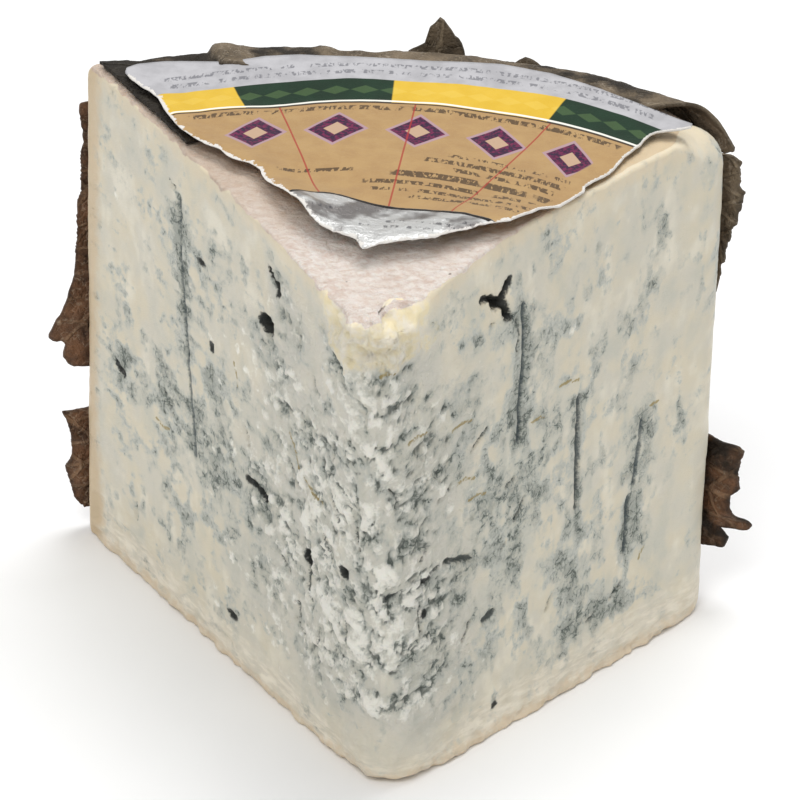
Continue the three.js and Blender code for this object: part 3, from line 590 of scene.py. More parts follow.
def make_stations():
    """Kind, place and distance from the nose of the stations, clockwise from above."""
    kinds, shares, alongs = [], [], []

    def add(kind, t, along):
        kinds.append(np.full(len(t), kind))
        shares.append(t)
        alongs.append(np.broadcast_to(along, t.shape).astype(float))

    half = np.arange(NOSE_STEPS) / NOSE_STEPS
    turn = np.arange(TURN_STEPS) / TURN_STEPS
    rind = np.arange(RIND_STEPS) / RIND_STEPS
    for face in (-1, 1):
        start, end = cut_span(face)
        places = cut_places(face)
        t = (places - start) / (end - start)
        if face < 0:
            add(NOSE_LEFT, half, mix(NOSE_ARC, start, half))
            add(LEFT_CUT, t, places)
            add(LEFT_TURN, turn, end + 5 * turn)
            add(RIND, rind, end)
        else:
            add(RIGHT_TURN, turn, end + 8 * (1 - turn))
            backward = np.concatenate([[0.0], 1.0 - t[1:][::-1]])
            add(RIGHT_CUT, backward, mix(end, start, backward))
            add(NOSE_RIGHT, half, mix(start, NOSE_ARC, half))
    return np.concatenate(kinds), np.concatenate(shares), np.concatenate(alongs)


def make_cheese(look):
    kind, t, along = make_stations()
    count = len(kind)
    face = np.where(kind <= RIND, -1, 1)
    nose = np.select(
        [kind == NOSE_LEFT, kind == NOSE_RIGHT, kind == LEFT_CUT, kind == RIGHT_CUT],
        [
            1 - 0.5 * t**2, 1 - 0.5 * (1 - t) ** 2,
            0.5 * np.clip(1 - 9 * t, 0, 1), 0.5 * np.clip(1 - (1 - t) * 9, 0, 1),
        ],
    )
    rind = np.select(
        [kind == LEFT_TURN, kind == RIND, kind == RIGHT_TURN], [ease(t, 0, 1), 1.0, 1 - ease(t, 0, 1)]
    )
    shoulder = np.select(
        [kind == RIGHT_TURN, kind == RIND, kind == RIGHT_CUT], [1.0, ease(t, 0.82, 1), 1 - ease(t, 0, 0.14)]
    )
    top_radius = mix(CUT_EDGE, RIM_RADIUS, rind) + (NOSE_CHIP - CUT_EDGE) * nose
    top_radius = top_radius + np.maximum(0, (RIGHT_SHOULDER - top_radius) * 0.5 * shoulder)
    base_radius = mix(CUT_EDGE, BASE_RIM_RADIUS, rind) + BASE_NOSE_CHIP * nose
    crown = plan(kind, t, np.ones(count))
    top = top_height(crown[:, 0], crown[:, 1])

    ups, insets = [], []
    for row in range(EDGE_ROWS["base"]):
        turn = math.pi / 2 * row / EDGE_ROWS["base"]
        ups.append(base_radius * (1 - math.cos(turn)))
        insets.append(base_radius * (1 - math.sin(turn)))
    for row in range(SIDE_ROWS):
        ups.append(mix(base_radius, top - top_radius, row / SIDE_ROWS))
        insets.append(np.zeros(count))
    for row in range(EDGE_ROWS["top"] + 1):
        turn = math.pi / 2 * row / EDGE_ROWS["top"]
        ups.append(top - top_radius * (1 - math.sin(turn)))
        insets.append(top_radius * (1 - math.cos(turn)) * (1 - NOSE_INSET_CUT * nose))
    up, inset = np.array(ups), np.array(insets)
    share = up / HEIGHT
    place = plan(kind, t, share)
    before = plan(np.roll(kind, 1), np.roll(t, 1), share)
    after = plan(np.roll(kind, -1), np.roll(t, -1), share)
    outward = unit(np.stack([before[..., 1] - after[..., 1], after[..., 0] - before[..., 0]], -1))
    x, y = place[..., 0], place[..., 1]
    fields = cut_fields(*np.broadcast_arrays(face, along, up), x, y, up)
    fade = ease(up, 0, 6)
    wave = FACE_WAVE * noise(x / 31, y / 31, up / 27)
    crag = 1.2 * nose * noise(x / 5, y / 5, up / 5.5)
    rind_wave = 0.25 * noise(x / 9, y / 9, up / 9) + 0.12 * rough(x / 2.2, y / 2.2, up / 2.2)
    ledges = rough(x / 6.0, y / 6.0, up / 1.5, 3, 0.6) * (1.0 - ease(up, 6.0, 16.0))
    on_cut = fade * (wave + crag) + 0.8 * ledges * ease(up, 0.0, 1.5)
    on_cut = on_cut + 0.9 * (1 - fade) * rough(x / 2.6, y / 2.6, up / 2.0, 4, 0.65)
    on_cut = on_cut + 0.6 * (1 - ease(up, 1.0, 8.0)) * rough(x / 4.3 + 7.7, y / 4.3, up / 3.4, 4, 0.72)
    pit = np.hypot((along - CRATER_ALONG) / CRATER_HALF, (top - up - 0.8) / CRATER_TALL)
    pit = np.where(face > 0, 1 - ease(pit + 0.2 * noise(x / 1.4, y / 1.4, up / 1.4), 0.65, 1.05), 0.0)
    on_cut = on_cut - CRATER_DEPTH * pit * ease(along, NOSE_ARC + 1.0, NOSE_ARC + 4.0)
    at_edge = ease(up, 0.3, 2.5) * ease(top - up, 0.3, 2.5)
    steps = 3.0 * rough(x / 5.0 + 3.3, y / 5.0, up / 4.0, 2, 0.5)
    ledge = np.floor(steps) + ease(steps - np.floor(steps), 0.62, 1.0)
    facets = 1.15 * ledge * ease(nose, 0.15, 0.8) * ease(up, 84.0, 91.0) * ease(top - up, 0.1, 1.4)
    chipped = 0.25 * noise(x / 2.1, y / 2.1, up / 2.1) * (1 - at_edge)
    on_cut = on_cut + fields["relief"] * at_edge + chipped + facets
    relief = np.where(rind > 0, fade * rind_wave, on_cut)
    base = place + outward * (relief - inset)[..., None]
    side = np.concatenate([base, up[..., None]], -1)

    ring0 = side[0]
    middle = np.append(ring0[:, :2].mean(0), 0.0)
    lower = [mix(middle, ring0, scale) for scale in BASE_SCALES]
    crater = NOSE[1] + unit(RIGHT_CORNER[1] - NOSE[1]) * CRATER_ALONG + CRATER_SHIFT
    rim = side[-1]
    covers = []
    for scale in 1.0 - COVER_SCALES:
        spread = (nose * (1 - ease(scale, 0.86, 1.0)))[:, None]
        flat = mix(middle[:2], mix(rim[:, :2], crown, spread), scale)
        fuzz = 0.25 * noise(flat[:, 0] / 4, flat[:, 1] / 4, 9.5)
        fuzz = fuzz + top_fibres(flat[:, 0], flat[:, 1])
        height = top_height(flat[:, 0], flat[:, 1]) + fuzz * ease(1 - scale, 0, 0.03)
        sunk = 1 - ease(np.hypot(*(flat - crater).T) / CRATER_HALF, 0.55, 1.0)
        covers.append(np.stack([flat[:, 0], flat[:, 1], height - 0.8 * CRATER_DEPTH * sunk], -1))
    cover = np.array(covers)
    crown_point = np.append(middle[:2], top_height(middle[:1], middle[1:2])[0])
    rings = np.concatenate([np.array(lower), side, cover])
    points = np.concatenate([middle[None], rings.reshape(-1, 3), crown_point[None]])
    quads = ring_quads(len(rings), count, 1)[:, ::-1]
    i = np.arange(count)
    foot = np.stack([np.zeros(count, int), 1 + i, 1 + (i + 1) % count], -1)
    last = 1 + (len(rings) - 1) * count
    head = np.stack([np.full(count, len(points) - 1), last + (i + 1) % count, last + i], -1)

    def on_sides(values, elsewhere=0.0):
        """Values for every ring, from those of the side's rings."""
        rows = np.full((len(rings), count), elsewhere)
        rows[len(lower):len(lower) + len(side)] = values
        return rows

    def with_ends(at_base, rows, at_top):
        """Values for every point: the middle of the base, the rings and the middle of the top."""
        return np.concatenate([[at_base], rows.ravel(), [at_top]])

    values = {"height": points[:, 2]}
    for name, inner in fields.items():
        if name != "relief":
            empty = UNMARKED.get(name, 0.0)
            rows = on_sides(np.where(rind > 0.5, empty, inner), empty)
            values[name] = with_ends(empty, rows, empty)

    away = np.hypot(cover[..., 0] - NOSE[1, 0], cover[..., 1] - NOSE[1, 1])
    ragged = 1.6 * noise(cover[..., 0] / 2.3, cover[..., 1] / 2.3, 6.5)
    off_cut = line_distance(cover[..., 0], cover[..., 1], [NOSE[1], RIGHT_CORNER[1]])
    bare = ease(away + 2 * ragged, 46.0, 58.0) * (1 - ease(off_cut + ragged, 13.0, 16.0))
    in_crater = np.hypot(cover[..., 0] - crater[0], cover[..., 1] - crater[1]) + 0.3 * ragged
    worn = ease(away + ragged, CHIP_REACH - 0.8, CHIP_REACH + 0.8)
    worn = worn * ease(in_crater, CRATER_HALF - 0.4, CRATER_HALF + 0.3)
    bare_side = np.where(face > 0, ease(along, 42.0, 58.0), 0.0) * (1 - rind)
    skin = on_sides(side_skin(rind, top - up, top_radius, x, y, up) * (1 - bare_side), 1.0)
    skin[-len(cover):] = worn * (1 - bare)
    values["skin"] = with_ends(1.0, skin, 1.0)

    from_nose = np.hypot(rings[..., 0] - NOSE[1, 0], rings[..., 1] - NOSE[1, 1])
    values["from_nose"] = with_ends(FAR_ALONG, from_nose, FAR_ALONG)
    level = rings[..., 2] + 3.5 * noise(rings[..., 0] / 3, rings[..., 1] / 3, 1.5)
    chip = ease(from_nose, 24.0, 10.0) * ease(level, 82.5, 91.0)
    away = np.hypot(rings[..., 0] - crater[0], rings[..., 1] - crater[1])
    away = away + 0.6 * np.abs(rings[..., 2] - HEIGHT + 2)
    chip = np.maximum(chip, 2.0 * (1 - ease(away, 1.5, 4.6)))
    values["chip"] = with_ends(0.0, chip, 0.0)

    below_top = on_sides(np.minimum(top - up, FAR_BELOW))
    below_top[:len(lower)] = FAR_BELOW
    values["below_top"] = with_ends(FAR_BELOW, below_top, 0.0)
    ends = np.where(face < 0, cut_span(-1)[1] + LEFT_ROUND, cut_span(1)[1] + RIGHT_ROUND)
    to_rind = np.minimum(ends - along - LEFT_RIND_SOONER * (face < 0), FAR_ALONG)
    values["to_rind"] = with_ends(0.0, on_sides(to_rind), 0.0)
    return make_piece("cheese_wedge", points, [foot, quads, head], values, look, "cheese")


def top_fibres(x, y):
    """Matted fibres of the rind on top, in soft tufts."""
    turn = 1.5 * noise(x / 16, y / 16, 13.5)
    run = x * np.cos(turn) + y * np.sin(turn)
    across = -x * np.sin(turn) + y * np.cos(turn)
    return 0.22 * rough(run / 4.0, across / 1.3, 17.5, 3, 0.6) + 0.12 * noise(x / 1.1, y / 1.1, 27.5)


def side_skin(rind, below, radius, x, y, up):
    """1 where the surface is rind and 0 where it is cut paste."""
    ragged = 0.55 * noise(x / 1.6, y / 1.6, up / 1.6) + 0.35 * noise(x / 5, y / 5, 8.5)
    over_edge = 1.0 - ease(below + ragged, 0.1 * radius, 0.1 * radius + 0.7)
    return np.maximum(ease(rind, 0.25, 0.75), over_edge)


# ---- Materials ----
def shade(red, green, blue):
    """A colour from its eight-bit values on a screen."""
    parts = [v / 255 for v in (red, green, blue)]
    return tuple(v / 12.92 if v <= 0.04045 else ((v + 0.055) / 1.055) ** 2.4 for v in parts) + (1.0,)


class Value:
    """An output of a node. Sums, differences and products of it are nodes too."""

    def __init__(self, look, socket):
        self.look, self.socket = look, socket

    def __add__(self, other):
        return self.look.math("ADD", self, other)

    def __radd__(self, other):
        return self.look.math("ADD", other, self)

    def __sub__(self, other):
        return self.look.math("SUBTRACT", self, other)

    def __rsub__(self, other):
        return self.look.math("SUBTRACT", other, self)

    def __mul__(self, other):
        return self.look.math("MULTIPLY", self, other)

    def __abs__(self):
        return self.look.math("ABSOLUTE", self)


class Look:
    """A material and short calls that add its nodes."""

    def __init__(self, name, **sockets):
        self.material = bpy.data.materials.new(name)
        self.material.use_nodes = True
        self.nodes = self.material.node_tree.nodes
        self.links = self.material.node_tree.links
        self.nodes.clear()
        output = self.nodes.new("ShaderNodeOutputMaterial")
        self.surface = self.nodes.new("ShaderNodeBsdfPrincipled")
        self.links.new(self.surface.outputs["BSDF"], output.inputs["Surface"])
        for socket, value in sockets.items():
            self.set(socket.replace("_", " "), value)
        place = self.add("ShaderNodeTexCoord", {}, "Object")
        self.place = self.add("ShaderNodeVectorMath", {0: place, "Scale": 1 / MM}, operation="SCALE")

    def set(self, socket, value):
        self.join(value, self.surface.inputs[socket])

    def join(self, value, socket):
        if isinstance(value, Value):
            self.links.new(value.socket, socket)
        else:
            socket.default_value = value

    def add(self, kind, inputs, output=0, **settings):
        node = self.nodes.new(kind)
        for setting, value in settings.items():
            setattr(node, setting, value)
        for socket, value in inputs.items():
            self.join(value, node.inputs[socket])
        return Value(self, node.outputs[output])

    def math(self, operation, *values):
        return self.add("ShaderNodeMath", dict(enumerate(values)), operation=operation)

    def ease(self, value, low, high, bottom=0.0, top=1.0):
        inputs = {"Value": value, "From Min": low, "From Max": high, "To Min": bottom, "To Max": top}
        return self.add("ShaderNodeMapRange", inputs, interpolation_type="SMOOTHSTEP")

    def field(self, name):
        return self.add("ShaderNodeAttribute", {}, "Fac", attribute_name=name)

    def noise(self, scale, detail=3.0, roughness=0.55, place=None, distortion=0.0):
        """Noise about 0, with lumps of 1 / scale millimetres."""
        inputs = {
            "Vector": place or self.place, "Scale": scale, "Detail": detail,
            "Roughness": roughness, "Distortion": distortion,
        }
        return self.add("ShaderNodeTexNoise", inputs) - 0.5

    def stretched(self, x, y, z, turn=0.0):
        """The place scaled along each axis after a turn about the upright axis."""
        inputs = {"Vector": self.place, "Rotation": (0.0, 0.0, turn), "Scale": (x, y, z)}
        return self.add("ShaderNodeMapping", inputs)

    def cells(self, scale, feature="DISTANCE_TO_EDGE", place=None):
        inputs = {"Vector": place or self.place, "Scale": scale}
        return self.add("ShaderNodeTexVoronoi", inputs, feature=feature)

    def warped(self, scale, reach):
        """The place shifted up to a few millimetres by noise, so that cells on it are ragged."""
        inputs = {"Vector": self.place, "Scale": scale, "Detail": 1.0}
        colour = self.add("ShaderNodeTexNoise", inputs, "Color")
        off = self.add("ShaderNodeVectorMath", {0: colour, 1: (0.5,) * 3}, operation="SUBTRACT")
        off = self.add("ShaderNodeVectorMath", {0: off, "Scale": reach}, operation="SCALE")
        return self.add("ShaderNodeVectorMath", {0: self.place, 1: off}, operation="ADD")

    def blend(self, share, first, second):
        node = self.nodes.new("ShaderNodeMix")
        node.data_type = "RGBA"
        for index, value in ((0, share), (6, first), (7, second)):
            self.join(value, node.inputs[index])
        return Value(self, node.outputs[2])

    def tint(self, under, over, value, low, high, most=1.0):
        """One colour over another, by how far a value is from one limit to the other."""
        return self.blend(self.ease(value, low, high, 0.0, most), under, over)

    def bump(self, height, distance, strength):
        """Relief of a height field, its distance in millimetres."""
        inputs = {"Height": height, "Distance": distance * MM, "Strength": strength}
        return self.add("ShaderNodeBump", inputs)


def cheese_look():
    look = Look("blue_paste", Roughness=0.5, Subsurface_Weight=0.12, Subsurface_Scale=0.0007)
    look.set("Subsurface Radius", (1.0, 0.75, 0.5))
    look.set("Specular IOR Level", 0.42)
    coarse = look.noise(0.11, 2.0)
    middle = look.noise(0.45, 3.0)
    fine = look.noise(1.7, 4.0, 0.62)
    tiny = look.noise(5.5, 3.0, 0.6)
    haze = look.field("haze")
    smear, crumbly = look.field("smear"), look.field("crumbly")

    at_nose = look.ease(crumbly, 0.05, 0.6)
    paste = look.tint(shade(209, 204, 188), shade(216, 207, 184), coarse, -0.14, 0.14)
    # Paler paste near the nose and in the crumbly zones: its paler crumbs, and painted light that makes up
    # for the shade that falls on the nose.
    paste = look.blend(at_nose, paste, shade(217, 213, 200))
    paste = look.tint(paste, shade(230, 224, 206), smear, 0.0, 0.5, 0.85)
    paste = look.tint(paste, shade(193, 193, 180), smear, 0.0, -0.5, 0.6)
    wide_haze = look.ease(haze + middle * 0.7, -0.5, 0.4, 0.0, 0.5)
    paste = look.blend(wide_haze, paste, shade(192, 194, 183))

    lump_edge = look.cells(0.3, place=look.warped(0.3, 4.0))
    soft = look.field("clump") + middle * 0.55 + fine * 0.35 + tiny * 0.12 + at_nose * -0.1
    inside = look.ease(soft, -0.32, 0.08)
    mould = look.ease(soft, -0.2, 0.25)
    spread = abs(look.noise(0.3, 3.0, 0.6, look.stretched(1.0, 1.0, 0.6)))
    wisp = look.ease(spread, 0.05, 0.0) * look.ease(middle, -0.08, 0.1)
    hair = look.ease(abs(look.noise(0.8, 2.0, 0.6, look.stretched(1.0, 1.0, 0.7))), 0.07, 0.0)
    gap = look.ease(lump_edge + fine * 0.22, 0.06, 0.0)
    spot = look.ease(fine + middle * 0.5, 0.12, 0.24)
    vein_off = abs(look.field("vein") + fine * 0.4)
    vein = look.ease(look.field("vein_width") - vein_off, -0.02, 0.03)
    lines = (
        wisp * 0.34 + hair * 0.14 + gap * look.ease(middle, -0.12, 0.04) * 0.42 + spot * 0.3
        + vein * 0.3
    )
    lines = lines * look.ease(look.field("at_nose"), 0.0, 0.6, 0.8, 1.1)
    dark = look.ease(soft, -0.5, 0.55, 0.0, 0.54) + lines * inside
    pale_haze = look.tint(shade(195, 194, 181), shade(190, 192, 183), coarse, -0.08, 0.1)
    colour = look.tint(paste, pale_haze, dark, 0.02, 0.26, 0.95)
    for low, high, tone in (
        (0.26, 0.52, shade(168, 171, 162)),
        (0.52, 0.78, shade(122, 128, 120)),
        (0.78, 1.0, shade(88, 95, 89)),
    ):
        colour = look.tint(colour, tone, dark, low, high)

    flake_at = look.field("flake") + fine * 0.7 + middle * -0.4 + 0.06
    colour = look.tint(colour, shade(250, 248, 237), flake_at, -0.14, 0.3, 0.95)
    mark = look.ease(look.field("mark") + fine * 0.9, 0.44, 0.2)
    colour = look.blend(mark * 0.85, colour, shade(154, 134, 72))

    # Painted shade in the hollows of the relief and painted highlight on its raised lumps.
    cavity = look.field("cavity") + fine * 0.25
    colour = look.tint(colour, shade(92, 98, 92), cavity, -0.08, -0.36, 0.7)
    colour = look.tint(colour, shade(240, 237, 226), cavity, 0.05, 0.3, 0.55)
    track = look.ease(look.field("track") + fine * 1.3, 0.5, -0.1)
    colour = look.blend(track * 0.85, colour, shade(70, 82, 85))
    crack = look.ease(look.field("crack") + fine * 1.1, 0.22, -0.12)
    colour = look.blend(crack * 0.85, colour, shade(58, 68, 66))
    layered = look.noise(1.0, 4.0, 0.6, look.stretched(0.25, 0.25, 1.1))
    low = look.field("height") + middle * 8.0 + look.field("at_nose") * 3.0
    base = look.ease(low, 10.5, 4.5) * look.ease(layered, -0.12, 0.12, 0.35, 0.95)
    crust = look.tint(shade(224, 214, 195), shade(236, 228, 210), layered, -0.15, 0.15)
    colour = look.blend(base, colour, crust)
    foot = look.ease(look.field("height") + middle * 6.0 + fine * 2.0, 3.6, 0.4, 0.0, 0.62)
    colour = look.blend(foot, colour, shade(220, 197, 164))

    below, to_rind = look.field("below_top"), look.field("to_rind")
    band = look.ease(below + middle * 5.0, 4.6, 0.4, 0.0, 0.6)
    colour = look.blend(band, colour, shade(224, 208, 178))
    outer = look.ease(to_rind + middle * 4.0, 5.0, 1.0, 0.0, 0.85)
    colour = look.blend(outer, colour, shade(206, 184, 150))

    # The openings are painted near black: painted shade deep inside them.
    hole = look.ease(look.field("hole") + fine * 0.8, 0.5, 0.1)
    colour = look.blend(hole * 0.97, colour, shade(24, 28, 25))

    chip = look.ease(look.field("chip") + middle * 0.9 + fine * 0.4, 0.3, 0.75)
    broken_tip = look.tint(shade(239, 231, 213), shade(239, 224, 182), middle, -0.14, 0.16)
    colour = look.blend(chip * 0.8, colour, broken_tip)
    crater = look.ease(look.field("chip") + fine * 0.8, 1.1, 1.8)
    colour = look.blend(crater * 0.8, colour, shade(236, 210, 140))
    skin = look.ease(look.field("skin") + fine * 0.7, 0.35, 0.65)
    fibre = look.noise(0.7, 5.0, 0.72, look.stretched(0.8, 1.5, 1.0, 0.6), 0.5)
    rind = look.tint(shade(222, 202, 188), shade(244, 236, 228), fibre, -0.2, 0.16)
    rind = look.tint(rind, shade(216, 188, 172), middle, 0.02, 0.22, 0.5)
    rind = look.tint(rind, shade(206, 180, 150), coarse + fibre * 0.6, 0.1, 0.24, 0.6)
    # Painted shade: further from the nose, beside and under the label, the rind is painted darker and
    # browner.
    label_shade_distance = look.field("from_nose") + coarse * 30.0
    rind = look.tint(rind, shade(198, 172, 146), label_shade_distance, 24.0, 52.0, 0.6)
    dot = look.ease(look.cells(0.16, "F1"), 0.055, 0.03)
    rind = look.blend(dot * 0.8, rind, shade(110, 90, 80))
    wrapped = look.ease(below, 3.0, 12.0)
    brown = look.tint(shade(176, 150, 118), shade(134, 116, 92), middle, -0.2, 0.2)
    rind = look.blend(wrapped, rind, brown)
    colour = look.blend(skin, colour, rind)
    look.set("Base Color", colour)

    relief = fine * 0.6 + tiny * 0.5
    lumpy = look.math("MAXIMUM", at_nose * 0.8, mould)
    lumps = look.ease(lump_edge, 0.0, 0.2)
    amount = look.math("MAXIMUM", look.ease(crumbly, 0.0, 0.6, 0.3, 1.2), mould * 0.8)
    amount = look.math("MAXIMUM", amount, skin * 1.3)
    relief = relief * amount
    relief = relief + fibre * skin * 1.4 + lumps * lumpy * 0.5
    look.set("Normal", look.bump(relief, 0.5, 0.9))
    gloss = look.ease(fine, -0.2, 0.2, 0.42, 0.56) + skin * 0.3 + mould * 0.15
    look.set("Roughness", gloss)
    return look.material


# ---- The label ----
# The torn edge round the label, from the outer left to the outer right, as degrees about the
# label's centre and millimetres from it.
TEAR_LEFT = [
    (-26.1, 31.4), (-27.2, 33.4), (-27.4, 37.4), (-27.9, 40.4), (-28.6, 43.8), (-27.8, 47.6), (-28.7, 50.4),
    (-30.7, 52.8), (-31.5, 55.3), (-31.4, 57.7), (-32.9, 60.6), (-33.4, 63.5), (-33.9, 68.1), (-33.6, 72.8),
    (-33.2, 76.9), (-32.6, 81.0), (-32.7, 83.7), (-33.1, 85.3), (-33.4, 89.6), (-33.3, 92.0),
]
TEAR_INNER = [
    (-26.1, 31.4), (-25.0, 26.6), (-21.7, 23.9), (-16.3, 21.9), (-9.9, 20.2), (-6.2, 17.3), (2.6, 19.0),
    (11.7, 20.5), (19.7, 22.1), (25.3, 23.4), (28.4, 26.0), (33.1, 28.2), (34.3, 30.7), (37.3, 33.2),
    (39.5, 35.0),
]
TEAR_RIGHT = [
    (39.5, 35.0), (39.3, 37.6), (39.1, 40.1), (38.3, 43.3), (39.1, 45.9), (39.8, 47.0), (39.2, 49.3),
    (38.7, 52.5), (38.3, 54.8), (37.0, 56.2), (36.6, 58.5), (36.7, 61.8), (36.3, 65.0), (35.3, 69.2),
    (34.8, 72.3), (34.6, 75.0), (34.1, 76.7), (33.8, 79.0), (34.2, 81.0), (35.7, 84.0), (36.2, 86.2),
    (35.8, 87.3),
]
OUTER_EDGE = [
    (-33.3, 92.0), (-32.6, 93.8), (-31.0, 94.8), (-27.5, 94.3), (-24.3, 92.8), (-21.0, 91.2), (-17.0, 92.0),
    (-13.0, 91.6), (-7.0, 90.9), (0.0, 90.4), (5.4, 90.4), (10.0, 91.2), (16.0, 90.7), (22.7, 88.8),
    (30.0, 86.9), (35.8, 87.3),
]
LABEL_COLUMNS = 170
LABEL_ROWS = 84
# Distances from the label's centre over which its printed zones and lines begin, or lie.
WHITE_FROM = (81.6, 81.75)
BAND_FROM = (73.45, 73.6)
DARK_LINE_FROM = (73.0, 73.1)
PALE_LINE = (73.7, 74.3)
SPRIG_RADIUS = 77.9
LOZENGE_RADIUS = 62.9
# Degrees at which the green fields of the band begin and end.
GREEN_FIELDS = ((-22.2, -1.9), (20.3, 34.6))
# The lozenges' spacing along the arc, and the degrees of the three thin lines across their row.
LOZENGE_STEP = 14.4
THIN_LINES = (-17.5, 1.5, 21.0)


def polar_line(line):
    degrees, radius = np.array(line).T
    turn = np.radians(degrees)
    return np.stack([radius * np.sin(turn), radius * np.cos(turn)], -1) + LABEL_CENTRE


def frayed(line, seed, reach):
    """A torn edge: the line with small ragged steps across it."""
    heading = unit(np.gradient(line, axis=0))
    across = np.stack([-heading[:, 1], heading[:, 0]], -1)
    at = np.arange(len(line))
    ragged = rough(at / 5.0, seed, 1.5, 4, 0.7) + 0.5 * noise(at / 17.0, seed, 3.5)
    fade = ease(np.minimum(at, len(line) - 1 - at), 0, 6)
    notches = np.minimum(0.0, rough(at / 2.0, seed, 9.5, 3, 0.7) + 0.15)
    return line + across * (reach * (ragged + notches) * fade)[:, None]


def make_label(look):
    inner = frayed(along_line(polar_line(TEAR_INNER), LABEL_COLUMNS), 2.5, 0.35)
    left = frayed(along_line(polar_line(TEAR_LEFT), LABEL_ROWS), 12.5, 0.3)
    right = frayed(along_line(polar_line(TEAR_RIGHT), LABEL_ROWS), 22.5, 0.3)
    outer = along_line(polar_line(OUTER_EDGE), LABEL_COLUMNS)
    u = np.linspace(0, 1, LABEL_COLUMNS)[None, :, None]
    v = np.linspace(0, 1, LABEL_ROWS)[:, None, None]
    ruled = mix(inner[None], outer[None], v) + mix(left[:, None], right[:, None], u)
    corners = mix(mix(inner[0], inner[-1], u), mix(outer[0], outer[-1], u), v)
    grid = ruled - corners
    x, y = grid[..., 0], grid[..., 1]
    radius = np.hypot(x - LABEL_CENTRE[0], y - LABEL_CENTRE[1])
    azimuth = np.degrees(np.arctan2(x - LABEL_CENTRE[0], y - LABEL_CENTRE[1]))
    from_inner = line_distance(x, y, inner[::4])
    from_left = line_distance(x, y, left[::3])
    from_right = line_distance(x, y, right[::3])
    over_leaf = 0.7 * (1 - ease(azimuth, TEAR_LEFT[-1][0] + 6, TEAR_LEFT[-1][0] + 15))
    over_rim = (LABEL_RIM_LIFT - 0.4) * ease(radius, 74, 86)
    ripple = 0.3 * noise(x / 12, y / 12, 21.5)
    ripple = ripple + 0.35 * ease(radius, 60, 85) * noise(azimuth / 7, 0.5, 2.5)
    ripple = ripple + 0.1 * np.sin(radius / 6 + np.radians(azimuth) * 5)
    creases = 0.16 * rough(x / 6, y / 6, 31.5, 3, 0.6)
    curl = 2.2 * (1 - ease(from_inner, 0, 15)) + 0.7 * (1 - ease(from_left, 0, 7))
    foil = 1 - ease(radius, foil_radius(azimuth) - 2, foil_radius(azimuth) + 4)
    crumple = 0.35 * foil * rough(x / 4.5, y / 4.5, 41.5, 4, 0.6)
    bottom = tip_level(x, y) + LABEL_LIFT + np.maximum(over_leaf, over_rim)
    bottom = bottom + ripple + creases + curl + crumple
    thick = LABEL_THICKNESS * (0.35 + 0.65 * ease(np.minimum(from_inner, from_left), 0, 1.2))
    lower = np.concatenate([grid, bottom[..., None]], -1)
    upper = np.concatenate([grid, (bottom + thick)[..., None]], -1)
    fields = {
        "radius": radius, "azimuth": azimuth, "torn": np.minimum(from_inner, from_left),
        "torn_right": from_right, "foil_radius": foil_radius(azimuth),
    }
    return make_sheet("paper_label", lower, upper, fields, look, "label")


def foil_radius(azimuth):
    """Where the foil middle of the label gives way to its print."""
    return 33.6 + 3.6 * np.exp(-(((azimuth + 16) / 11) ** 2)) - 0.02 * (azimuth - 5)


